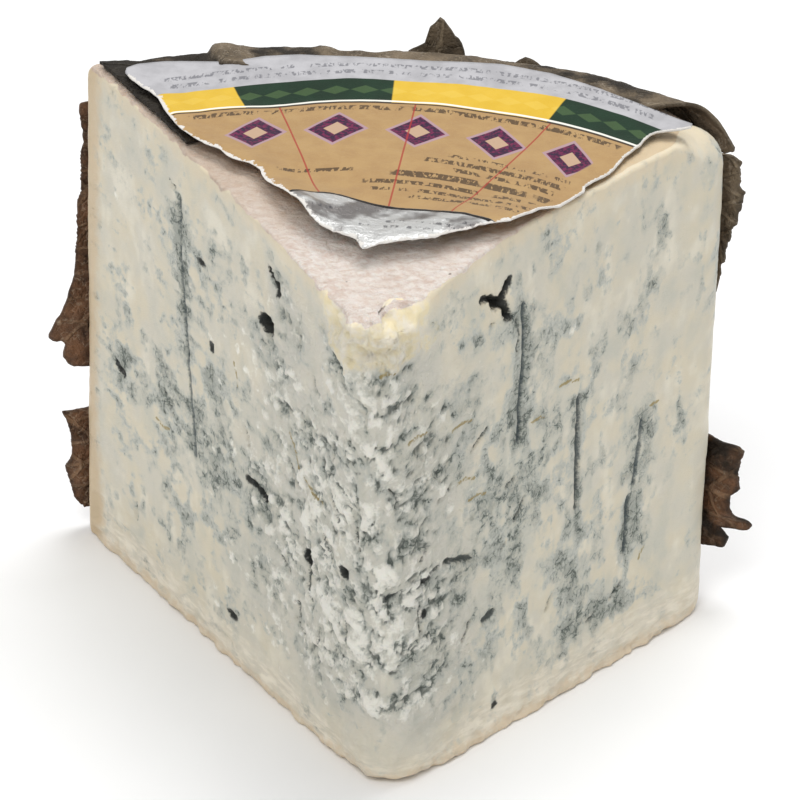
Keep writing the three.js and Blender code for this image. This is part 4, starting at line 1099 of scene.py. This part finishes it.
def label_look():
    look = Look("printed_label", Roughness=0.5)
    look.set("Specular IOR Level", 0.2)
    radius, azimuth = look.field("radius"), look.field("azimuth")
    arc = radius * azimuth * (math.pi / 180)
    fine, middle = look.noise(1.8, 4.0, 0.6), look.noise(0.25, 3.0)
    torn, torn_right = look.field("torn"), look.field("torn_right")
    foil_edge = look.field("foil_radius")

    def between(value, low, high, soft=0.08):
        inside = look.ease(value, low - soft, low + soft)
        return inside * look.ease(value, high + soft, high - soft)

    def greeked(at, half, seed, low, high, boldness=0.0):
        """A line of print too small to read: dashes in groups, on an arc."""
        line = look.add("ShaderNodeCombineXYZ", {0: arc, 1: seed, 2: radius * 0.45})
        letters = look.noise(1.5, 2.0, 0.6, line)
        words = look.noise(0.33, 1.0, 0.5, line)
        ink = look.ease(letters + boldness, -0.03, 0.07)
        ink = ink * look.ease(words, -0.14, -0.08)
        return ink * between(radius, at - half, at + half) * between(azimuth, low, high, 0.4)

    white = look.tint(shade(166, 165, 168), shade(184, 183, 186), middle, -0.2, 0.2)
    for at, seed in ((87.3, 1.3), (84.4, 7.7)):
        white = look.blend(greeked(at, 0.75, seed, -30, 33) * 0.75, white, shade(104, 104, 110))
    yellow = look.tint(shade(211, 173, 50), shade(217, 180, 60), middle, -0.2, 0.2)
    green = look.tint(shade(12, 40, 22), shade(16, 48, 28), middle, -0.2, 0.2)
    fields = [between(azimuth, low, high, 0.12) for low, high in GREEN_FIELDS]
    in_green = look.math("MAXIMUM", *fields)
    leaf_at = look.math("PINGPONG", arc + 200.0, 2.6)
    leaf_off = abs(radius - SPRIG_RADIUS)
    sprig = look.ease(leaf_at * 0.55 + leaf_off, 1.5, 1.25)
    green = look.blend(sprig * 0.24, green, shade(110, 140, 84))
    yellow = look.blend(sprig * 0.3, yellow, shade(226, 196, 90))
    band = look.blend(in_green, yellow, green)
    colour = look.tint(band, white, radius, *WHITE_FROM)
    colour = look.blend(between(radius, *PALE_LINE), colour, shade(236, 234, 224))

    tan = look.tint(shade(167, 134, 91), shade(176, 144, 98), middle, -0.2, 0.2)
    tan = look.tint(tan, shade(188, 156, 106), fine, 0.0, 0.3, 0.35)
    for at, half, seed, low, high, boldness in (
        (71.3, 0.8, 3.1, -31, 33, 0.04), (55.0, 0.6, 5.2, 10, 35, 0.0), (52.4, 0.8, 9.4, 6, 35, 0.05),
        (49.8, 0.7, 11.8, 12, 36, 0.04), (46.6, 1.1, 13.3, 0, 37, 0.1), (43.3, 0.7, 15.9, -6, 37, 0.05),
        (40.6, 0.6, 17.2, -4, 38, 0.04), (38.2, 0.6, 19.2, 6, 38, 0.02), (47.6, 0.6, 23.2, -24, -8, 0.02),
    ):
        ink = greeked(at, half, seed, low, high, boldness)
        tan = look.blend(ink * 0.8, tan, shade(52, 38, 28))

    cell_at = look.math("PINGPONG", arc + 400.0, LOZENGE_STEP / 2)
    tall = abs(radius - LOZENGE_RADIUS)
    lozenge = cell_at * 0.9 + tall * 0.8
    in_row = look.ease(azimuth, -29.5, -29.0) * look.ease(azimuth, 33.0, 32.5)
    halo = look.ease(lozenge, 5.3, 5.1) * in_row
    body = look.ease(lozenge, 4.55, 4.35) * in_row
    core = look.ease(lozenge, 2.1, 1.9) * in_row
    tan = look.blend(halo * 0.8, tan, shade(170, 140, 156))
    weave = look.ease(look.noise(1.3, 3.0, 0.7), -0.05, 0.1)
    purple = look.blend(weave, shade(48, 22, 52), shade(112, 30, 72))
    tan = look.blend(body, tan, purple)
    tan = look.blend(core, tan, shade(186, 156, 130))
    for degrees in THIN_LINES:
        off = abs((azimuth - degrees) * radius * (math.pi / 180))
        tan = look.tint(tan, shade(160, 46, 40), off, 0.22, 0.1, 0.8)
    tan = look.tint(tan, shade(70, 52, 40), radius, *DARK_LINE_FROM)
    colour = look.tint(tan, colour, radius, *BAND_FROM)

    in_foil = foil_edge - radius
    cloudy = look.noise(0.13, 3.0, 0.55)
    foil_colour = look.tint(shade(126, 122, 120), shade(208, 208, 206), cloudy, -0.12, 0.04)
    for at, seed, low, high in (
        (27.5, 31.0, 2, 34), (25.1, 33.0, -8, 30), (30.5, 35.0, -24, -12), (29.6, 37.0, 22, 38),
    ):
        ink = greeked(at, 0.5, seed, low, high)
        foil_colour = look.blend(ink * 0.7, foil_colour, shade(70, 70, 76))
    foil = look.ease(in_foil, -0.1, 0.1)
    colour = look.blend(foil, colour, foil_colour)
    colour = look.blend(between(in_foil, 0.0, 0.8, 0.1), colour, shade(28, 24, 22))
    paper_at = torn + fine * 1.4 + look.noise(0.5, 3.0, 0.6) * 2.6
    paper = look.ease(paper_at, 0.6, 0.35)
    paper_right = look.ease(torn_right + fine, 0.45, 0.25)
    paper = look.math("MAXIMUM", paper, paper_right)
    colour = look.blend(paper, colour, shade(224, 220, 214))
    look.set("Base Color", colour)
    look.set("Metallic", foil * (1.0 - paper) * 0.55)
    look.set("Roughness", 0.38 + paper * 0.4 + foil * -0.06)
    relief = fine * paper * 1.5 + look.noise(0.35, 4.0, 0.6) * 0.8
    relief = relief + look.noise(0.6, 5.0, 0.65) * foil * 1.6
    look.set("Normal", look.bump(relief, 0.35, 0.7))
    return look.material


# ---- Leaves ----
def rind_radius(azimuth, share):
    left = mix(LEFT_CORNER[0], LEFT_CORNER[1], share[..., None])
    right = mix(RIGHT_CORNER[0], RIGHT_CORNER[1], share[..., None])
    start = np.arctan2(left[..., 0], left[..., 1])
    end = np.arctan2(right[..., 0], right[..., 1])
    t = (azimuth - start) / (end - start)
    return mix(np.linalg.norm(left, axis=-1), np.linalg.norm(right, axis=-1), t)


def wrap_point(around, height, off, upright):
    """A place on the wrap: round the rind, up the side and in over the rim."""
    azimuth = around / RIND_MEAN_RADIUS
    radius = rind_radius(azimuth, np.clip(height / HEIGHT, 0, 1))
    out, z = radius + off, height
    if not upright:
        rim_start, rim_length = HEIGHT - RIM_RADIUS, RIM_RADIUS * math.pi / 2
        turn = np.clip((height - rim_start) / rim_length, 0, 1) * math.pi / 2
        past = np.maximum(0, height - rim_start - rim_length)
        over = height > rim_start
        out = np.where(over, radius - RIM_RADIUS + (RIM_RADIUS + off) * np.cos(turn) - past, out)
        z = np.where(over, rim_start + (RIM_RADIUS + off) * np.sin(turn), z)
    return np.stack([out * np.sin(azimuth), out * np.cos(azimuth), z], -1)


def wrap_pair(around, height, off, upright=False, rim_lift=RIM_LIFT):
    wave = LEAF_WAVE * noise(around / 14, height / 14, 33.5) + 0.16 * noise(around / 4.5, height / 4.5, 37.5)
    lift = rim_lift * (1 - ease(np.abs(height - HEIGHT + RIM_RADIUS / 2), 3, 14))
    base = off + wave + lift
    lower = wrap_point(around, height, base, upright)
    return lower, wrap_point(around, height, base + LEAF_THICKNESS, upright)


EDGE_SETTLE = 1.7
LOBES = [(0, 1.0, 20), (50, 0.9, 24), (-50, 0.9, 24), (106, 0.66, 30), (-106, 0.66, 30)]
LEAF_WAIST = 0.5
LEAF_RAYS = 420
LEAF_RINGS = 30


def leaf_radius(degrees, seed):
    turn = [np.abs((degrees - angle + 540) % 360 - 180) for angle, _, _ in LOBES]
    lobes = [length * np.exp(-((t / width) ** 1.4)) for t, (_, length, width) in zip(turn, LOBES)]
    outline = np.maximum(LEAF_WAIST, np.max(lobes, axis=0))
    teeth = 0.05 * np.abs(((degrees + 8 * noise(degrees / 9, seed, 3.5)) / 9.0) % 1.0 - 0.35)
    return outline * (1 + 0.07 * noise(degrees / 11, seed, 14.5) - teeth)


def vein_distance(a, h):
    """Distance to the nearest vein of a leaf, from the place where its main veins meet."""
    best = np.full(a.shape, 99.0)
    for angle, length, _ in LOBES:
        t = math.radians(angle)
        run, across = a * math.sin(t) + h * math.cos(t), a * math.cos(t) - h * math.sin(t)
        main = np.where(run > 0, np.abs(across) - 0.4 * (1 - run / 70), 99.0)
        spacing = 6.5
        slant = (run - 0.8 * np.abs(across)) / spacing
        side = np.abs(slant - np.round(slant)) * spacing * 0.78 - 0.18
        side = np.where((run > 3) & (np.abs(across) < 0.8 * run), side, 99.0)
        best = np.minimum(best, np.minimum(main, side))
    return np.minimum(best, 6.0)


def make_lobed_leaf(name, leaf, look):
    angle = np.arange(LEAF_RAYS) / LEAF_RAYS * 2 * math.pi
    turn = angle + math.radians(leaf["midrib"])
    edgeward = ease(np.sin(turn) * math.copysign(1.0, leaf["around"]), -0.1, 0.6)
    reach = leaf["length"] * np.maximum(leaf_radius(np.degrees(angle), leaf["seed"]), 1.15 * edgeward)
    share = np.linspace(0, 1, 240)[:, None]
    a = leaf["around"] + np.sin(turn) * reach * share
    h = leaf["height"] + np.cos(turn) * reach * share
    inside = np.minimum.accumulate(leaf["within"](a, h), axis=0)
    reach = reach * np.maximum(share * inside, 0.004).max(0)
    parts = np.linspace(0, 1, LEAF_RINGS + 1)[1:, None] ** 0.85
    a_off, h_off = np.sin(turn) * reach * parts, np.cos(turn) * reach * parts
    a, h = leaf["around"] + a_off, leaf["height"] + h_off
    a, h = np.insert(a.ravel(), 0, leaf["around"]), np.insert(h.ravel(), 0, leaf["height"])
    a_off, h_off = np.insert(a_off.ravel(), 0, 0.0), np.insert(h_off.ravel(), 0, 0.0)
    straight = math.radians(leaf["midrib"])
    across = a_off * math.cos(straight) - h_off * math.sin(straight)
    run = a_off * math.sin(straight) + h_off * math.cos(straight)
    veins = vein_distance(across, run)
    past = np.maximum(0, np.maximum(a - FREE_EDGE[1], FREE_EDGE[0] - a))
    to_edge = np.maximum(ease(a, 58, 65), ease(-a, 43, 49))
    lift = FLAP_CURL * past**2 + past * 0.4 * noise(h / 4, leaf["seed"], 3.5)
    lift = lift - EDGE_SETTLE * to_edge * (leaf["layer"] == 2)
    crumple = np.abs(rough(a / 6, h / 6, leaf["seed"], 3, 0.6)) - 0.25
    lift = lift + 1.6 * to_edge * crumple
    ridge = 0.12 * (1 - ease(veins, 0.0, 0.8))
    lower, upper = wrap_pair(a, h, LEAF_LAYERS[leaf["layer"]] + lift + ridge, leaf.get("upright", False))
    count = len(lower)
    ring = ring_quads(LEAF_RINGS, LEAF_RAYS, 1)
    i = np.arange(LEAF_RAYS)
    fan = np.stack([np.zeros(LEAF_RAYS, int), 1 + i, 1 + (i + 1) % LEAF_RAYS], -1)
    border = 1 + (LEAF_RINGS - 1) * LEAF_RAYS + i
    faces = [fan[:, ::-1], ring, fan + count, (ring + count)[:, ::-1], band_quads(border, border + count)]
    edge = np.insert(np.broadcast_to((1 - parts) * reach, (LEAF_RINGS, LEAF_RAYS)).ravel(), 0, 9.0)
    fields = {"vein": np.tile(veins, 2), "edge": np.tile(np.minimum(edge, 9.0), 2)}
    fields["tone"] = np.full(2 * count, leaf.get("tone", 0.5))
    return make_piece(name + "_wrap", np.concatenate([lower, upper]), faces, fields, look, name)


def follow(line, at):
    return np.interp(at, *zip(*line))


def limits(low, high, ragged, left=None, right=None):
    """A test for the part of a leaf that the knife and the wear have left: heights at its foot and
    head, and its free edges as lines of (height, around)."""
    def within(a, h):
        worn = ragged * rough(h / 2.2, 0.5, 1.5, 3, 0.6)
        keep = (h > low + ragged * noise(a / 3, 0.5, 5.5)) & (h < high + ragged * noise(a / 3, 0.5, 7.5))
        if left is not None:
            keep &= a > follow(left, h) + worn
        if right is not None:
            keep &= a < follow(right, h) + worn
        return keep
    return within


LEFT_UPPER_EDGE = [
    (34.3, -48), (35.0, -52.6), (35.3, -53.4), (36.4, -54.1), (38.2, -54.3), (39.2, -53.8), (40.2, -54.2),
    (40.4, -56.6), (41.7, -56.4), (45.1, -55.4), (48.3, -54.4), (52.5, -53.0), (54.5, -52.3), (62, -51.9),
    (70.3, -51.7), (72, -51.0), (80.6, -51.2), (82, -50.4), (88.5, -51.2), (91, -50.4),
]
LEFT_LOWER_EDGE = [
    (4.5, -51), (5, -51.7), (6.7, -52.7), (9, -53.2), (13, -53.9), (17, -53.0), (19.2, -53.0), (21, -53.3),
    (23.7, -54.0), (24.8, -54.4), (25.7, -54.7), (26.5, -54.7),
]
RIGHT_UPPER_EDGE = [
    (58.7, 65.9), (60.7, 66.4), (62.4, 67.1), (64.5, 67.4), (65.9, 67.9), (67.4, 67.4), (68.4, 68.2),
    (72.4, 68.5), (73.5, 69.0), (75.1, 68.9), (76.4, 69.9), (81, 70.5), (83, 70.7), (84.1, 69.5),
    (84.8, 69.9), (90, 69.8),
]
RIGHT_LOWER_EDGE = [
    (10.8, 68.0), (11.0, 72.3), (12.9, 72.8), (14.6, 72.0), (15.1, 71.0), (15.4, 75.9), (16.2, 76.3),
    (18.6, 75.4), (22.4, 73.3), (23.6, 74.4), (24.2, 74.6), (30, 74.6), (32.1, 74.9), (32.8, 73.8),
    (33.0, 70.8), (33.4, 68.7), (33.6, 66.5),
]
BACK_EDGE = [
    (-60, 97), (3, 96.3), (8, 97.4), (9.4, 98.3), (10.3, 98.8), (10.5, 100.4), (10.9, 101.9), (12.2, 103.6),
    (13, 104.7), (14, 102.8), (15.4, 100.7), (16.3, 100), (17.5, 99.2), (20.4, 98.6), (22, 97.9),
    (23.4, 97.6), (24.3, 98.3), (25.3, 98.7), (26.5, 97.9), (28.7, 97.8), (30, 97.1), (31.4, 96.3),
    (34, 96), (60, 94),
]


def within_back(a, h):
    head = follow(BACK_EDGE, a)
    return (a > -46) & (a < 60) & (h > 5) & (h < head + 0.5 * noise(a / 1.8, 3.5, 9.5))


LOBED_LEAVES = {
    "leaf_back": {
        "around": 8, "height": 52, "length": 55.5, "midrib": 6, "layer": 1, "seed": 1.5,
        "upright": True, "within": within_back, "slot": "leaf_grey",
    },
    "leaf_left_upper": {
        "around": -30, "height": 70, "length": 60, "midrib": -35, "layer": 2, "seed": 2.5,
        "within": limits(34.3, 90, 0.2, left=LEFT_UPPER_EDGE), "slot": "leaf_brown",
    },
    "leaf_left_lower": {
        "around": -38, "height": 15, "length": 26, "midrib": -95, "layer": 0, "seed": 3.5,
        "within": limits(4.2, 26, 0.25, left=LEFT_LOWER_EDGE), "slot": "leaf_brown",
    },
    "leaf_right_upper": {
        "around": 48, "height": 80, "length": 46, "midrib": 60, "layer": 2, "seed": 4.5,
        "within": limits(58.5, 89, 0.25, right=RIGHT_UPPER_EDGE), "slot": "leaf_grey", "tone": 0.7,
    },
    "leaf_right_lower": {
        "around": 56, "height": 24, "length": 30, "midrib": 95, "layer": 0, "seed": 5.5,
        "within": limits(10.8, 33.6, 0.2, right=RIGHT_LOWER_EDGE), "slot": "leaf_brown", "tone": 0.12,
    },
}


def make_rim_leaf(look):
    """The fold of leaf caught between the rim and the label, ragged along both edges."""
    columns, rows = 300, 30
    around = np.linspace(-49.5, 68.7, columns)[None, :]
    head = 111 + 2 * noise(around / 7, 0, 50.5) + 0.6 * rough(around / 1.6, 4.5, 2.5, 3, 0.6)
    foot = 87 + 2 * noise(around / 7, 5, 50.5) + 0.8 * rough(around / 1.6, 6.5, 2.5, 3, 0.6)
    head = np.minimum(head, np.interp(around, [-47, -40, -31], [100.5, 102.5, 112]))
    tip = np.interp(around, [56, 62, 64, 66.2, 67.3, 68.7], [111, 103, 98.5, 95, 93.3, 91.6])
    head, foot = np.where(around > 56, np.minimum(head, tip), head), foot + 4 * ease(around, 50, 64)
    foot = np.minimum(foot, head - 0.4)
    height = mix(head, foot, np.linspace(0, 1, rows)[:, None])
    around = np.broadcast_to(around, height.shape)
    slant = (around + 0.7 * (height - 90)) / 7.0
    veins = np.abs(slant - np.round(slant)) * 7.0 - 0.1
    veins = np.minimum(veins + 0.5 * rough(around / 3, height / 3, 5.5), 6.0)
    folds = 0.25 * noise(around / 3.2, height / 9, 43.5) + 0.2 * rough(around / 2.5, height / 2.5, 45.5)
    stub = ease(around, -28.6, -27.0) * (1 - ease(around, -26.0, -17.0))
    sunk = ease(around, -6.5, -4.0) * (1 - ease(around, 2.0, 6.0))
    over = ease(height, 92, 97)
    off = 0.3 + 0.12 * (1 - ease(veins, 0, 0.8)) + np.maximum(folds, -0.1) + (1.5 * stub - 0.5 * sunk) * over
    lower, upper = wrap_pair(around, height, off, rim_lift=0.0)
    edge = np.minimum(np.minimum(head - height, height - foot), 9.0)
    dark = np.maximum(1 - ease(around, -9, -3), 0.75 * ease(around, 22, 30) * (1 - ease(around, 54, 62)))
    dark = dark * (1 - 0.8 * stub)
    fields = {"vein": veins, "edge": edge, "tone": 0.6 - 0.6 * dark}
    flipped = {field: values[:, ::-1] for field, values in fields.items()}
    return make_sheet("leaf_rim_wrap", lower[:, ::-1], upper[:, ::-1], flipped, look, "leaf_rim")


def make_top_leaf(look):
    """The dark leaf that lies on the top beside the left cut, partly under the label."""
    columns, rows, length = 120, 30, 36.0
    inward = unit(NOSE[1] - LEFT_CORNER[1])
    across = np.array([-inward[1], inward[0]])
    start = LEFT_CORNER[1] + inward * 4
    t = np.linspace(0, 1, columns)[None, :]
    width = np.linspace(0.8, 10, rows)[:, None]
    ragged = 1 + 0.2 * noise(t * 9, width, 61.5) + 0.1 * rough(t * 40, 3.5, 8.5, 3, 0.6)
    over = 1.7 + (width - 0.8) * (1 - 0.75 * t**2) * ragged + 0.5 * rough(t * 30, 1.5, 2.5, 3, 0.6)
    run = t * length + 0.55 * width * (1 - t)
    flat = start + inward * run[..., None] + across * over[..., None]
    x, y = flat[..., 0], flat[..., 1]
    slant = (run - 0.9 * over) / 6.0
    veins = np.minimum(np.abs(slant - np.round(slant)) * 6.0 - 0.15, 6.0)
    crease = 0.1 * noise(x / 5, y / 5, 71.5) + 0.14 * noise(x / 1.9, y / 1.9, 73.5)
    crease = crease + 0.15 * (1 - ease(veins, 0, 0.7))
    crease = crease + 0.5 * (1 - ease(over, 0.5, 2.5)) * noise(run / 3, 2.5, 4.5)
    bottom = top_height(x, y) + LEAF_LAYERS[0] + crease
    lower = np.stack([x, y, bottom], -1)
    upper = lower + np.array([0, 0, LEAF_THICKNESS])
    fields = {"vein": veins, "edge": np.minimum(over, 9.0), "tone": np.full(over.shape, 0.5)}
    return make_sheet("leaf_top_wrap", lower, upper, fields, look, "leaf_top")


def leaf_look(name, dark, light, vein, bloom_and_highlight, gloss):
    look = Look(name, Roughness=gloss)
    look.set("Specular IOR Level", 0.25)
    middle, fine = look.noise(0.16, 4.0, 0.6), look.noise(1.4, 5.0, 0.65)
    cellular = look.cells(0.9)
    off = look.field("vein")
    colour = look.tint(dark, light, middle + fine * 0.5, -0.34, 0.2)
    colour = look.tint(colour, dark, fine, 0.0, 0.25, 0.4)
    network = look.ease(cellular + fine * 0.1, 0.07, 0.01)
    colour = look.blend(network * 0.12, colour, vein)
    rib = look.ease(off + fine * 0.35, 0.36, 0.02)
    beside = look.ease(off, 2.6, 0.6)
    colour = look.blend(beside * 0.22, colour, dark)
    colour = look.blend(rib * look.ease(middle, -0.2, 0.1, 0.2, 0.6), colour, vein)
    # Painted highlight along the folds of the crumpled leaf, in the bloom colour.
    fold = look.ease(abs(look.noise(0.22, 3.0, 0.6)), 0.02, 0.0)
    colour = look.blend(fold * look.ease(fine, -0.15, 0.1) * 0.45, colour, bloom_and_highlight)
    grown = look.ease(look.noise(0.3, 5.0, 0.7) + fine * 0.35, 0.12, 0.24)
    colour = look.blend(grown * 0.55, colour, bloom_and_highlight)
    rim = look.ease(look.field("edge") + fine * 1.2, 0.9, 0.1)
    colour = look.blend(rim * 0.45, colour, dark)
    aged = look.field("tone") + middle * 1.2
    colour = look.tint(colour, shade(34, 29, 23), aged, 0.34, -0.04, 0.92)
    colour = look.tint(colour, light, aged, 0.55, 0.95, 0.5)
    look.set("Base Color", colour)
    relief = fine * 0.7 + look.noise(0.45, 4.0, 0.6) * 2.2
    relief = relief + abs(look.noise(0.22, 3.0, 0.6)) * 5.0
    relief = relief + network * 0.15 + rib * 0.9
    look.set("Normal", look.bump(relief, 0.4, 0.9))
    look.set("Roughness", look.ease(fine, -0.2, 0.2, gloss - 0.12, gloss + 0.12))
    return look.material


# ---- Assembly ----
# The dark, light, vein and bloom colours of each kind of leaf, then its roughness; the bloom colour
# is also the painted highlight along the folds.
LEAF_KINDS = {
    "leaf_brown": ((44, 31, 23), (134, 96, 69), (152, 122, 95), (172, 154, 132), 0.62),
    "leaf_grey": ((56, 49, 40), (126, 111, 91), (158, 142, 119), (176, 164, 148), 0.72),
    "leaf_dark": ((18, 16, 13), (48, 42, 34), (58, 52, 42), (84, 80, 70), 0.6),
}
make_cheese(cheese_look())
make_label(label_look())
leaf_looks = {}
for kind, (*colours, gloss) in LEAF_KINDS.items():
    leaf_looks[kind] = leaf_look(kind + "_old", *(shade(*colour) for colour in colours), gloss)
for leaf_name, leaf_row in LOBED_LEAVES.items():
    make_lobed_leaf(leaf_name, leaf_row, leaf_looks[leaf_row["slot"]])
make_rim_leaf(leaf_looks["leaf_grey"])
make_top_leaf(leaf_looks["leaf_dark"])


# ---- Floor, light and camera ----
FLOOR_HALF = 3.0
# Name, place, the point it faces, size and power of each lamp, in metres and watts.
LAMPS = [
    ("key", (0.12, 0.35, 1.3), (0, 0, 0.04), 0.8, 9.8),
    ("front", (-0.2, -0.8, 1.2), (0, 0, 0.05), 0.7, 6.0),
]
WORLD_STRENGTH = 0.56


def make_floor():
    mesh = bpy.data.meshes.new("floor")
    corners = [(x * FLOOR_HALF, y * FLOOR_HALF, 0) for x, y in ((-1, -1), (1, -1), (1, 1), (-1, 1))]
    mesh.from_pydata(corners, [], [(0, 1, 2, 3)])
    look = Look("pale_floor", Roughness=0.6)
    tone = look.ease(look.noise(0.02, 2.0), -0.2, 0.2)
    look.set("Base Color", look.blend(tone, (0.93, 0.93, 0.93, 1), (0.95, 0.95, 0.95, 1)))
    mesh.materials.append(look.material)
    floor = bpy.data.objects.new("floor", mesh)
    bpy.context.scene.collection.objects.link(floor)


def make_area(name, place, target, size, power):
    light = bpy.data.lights.new(name, "AREA")
    light.shape, light.size, light.energy = "DISK", size, power
    lamp = bpy.data.objects.new(name, light)
    bpy.context.scene.collection.objects.link(lamp)
    lamp.location = place
    lamp.rotation_mode = "QUATERNION"
    lamp.rotation_quaternion = (Vector(target) - Vector(place)).to_track_quat("-Z", "Y")


def make_world(strength):
    world = bpy.data.worlds.new("studio")
    world.use_nodes = True
    world.node_tree.nodes["Background"].inputs["Color"].default_value = (1.0, 1.0, 1.0, 1.0)
    world.node_tree.nodes["Background"].inputs["Strength"].default_value = strength
    bpy.context.scene.world = world


def make_camera():
    data = bpy.data.cameras.new("camera")
    data.lens, data.sensor_width = CAMERA_LENS, 36.0
    data.clip_start, data.clip_end = 0.05, 20.0
    camera = bpy.data.objects.new("camera", data)
    bpy.context.scene.collection.objects.link(camera)
    tilt, turn, roll = (math.radians(CAMERA_TURN[key]) for key in ("elevation", "azimuth", "roll"))
    back = Vector((math.sin(turn) * math.cos(tilt), -math.cos(turn) * math.cos(tilt), math.sin(tilt)))
    level = (-back).cross(Vector((0, 0, 1))).normalized()
    upward = level.cross(-back)
    right = math.cos(roll) * level + math.sin(roll) * upward
    up = -math.sin(roll) * level + math.cos(roll) * upward
    axes = Matrix((right, up, back)).transposed().to_4x4()
    camera.matrix_world = Matrix.Translation(CAMERA_AT) @ axes
    bpy.context.scene.camera = camera


make_floor()
for lamp in LAMPS:
    make_area(*lamp)
make_world(WORLD_STRENGTH)
make_camera()
bpy.context.scene.view_settings.view_transform = "Standard"
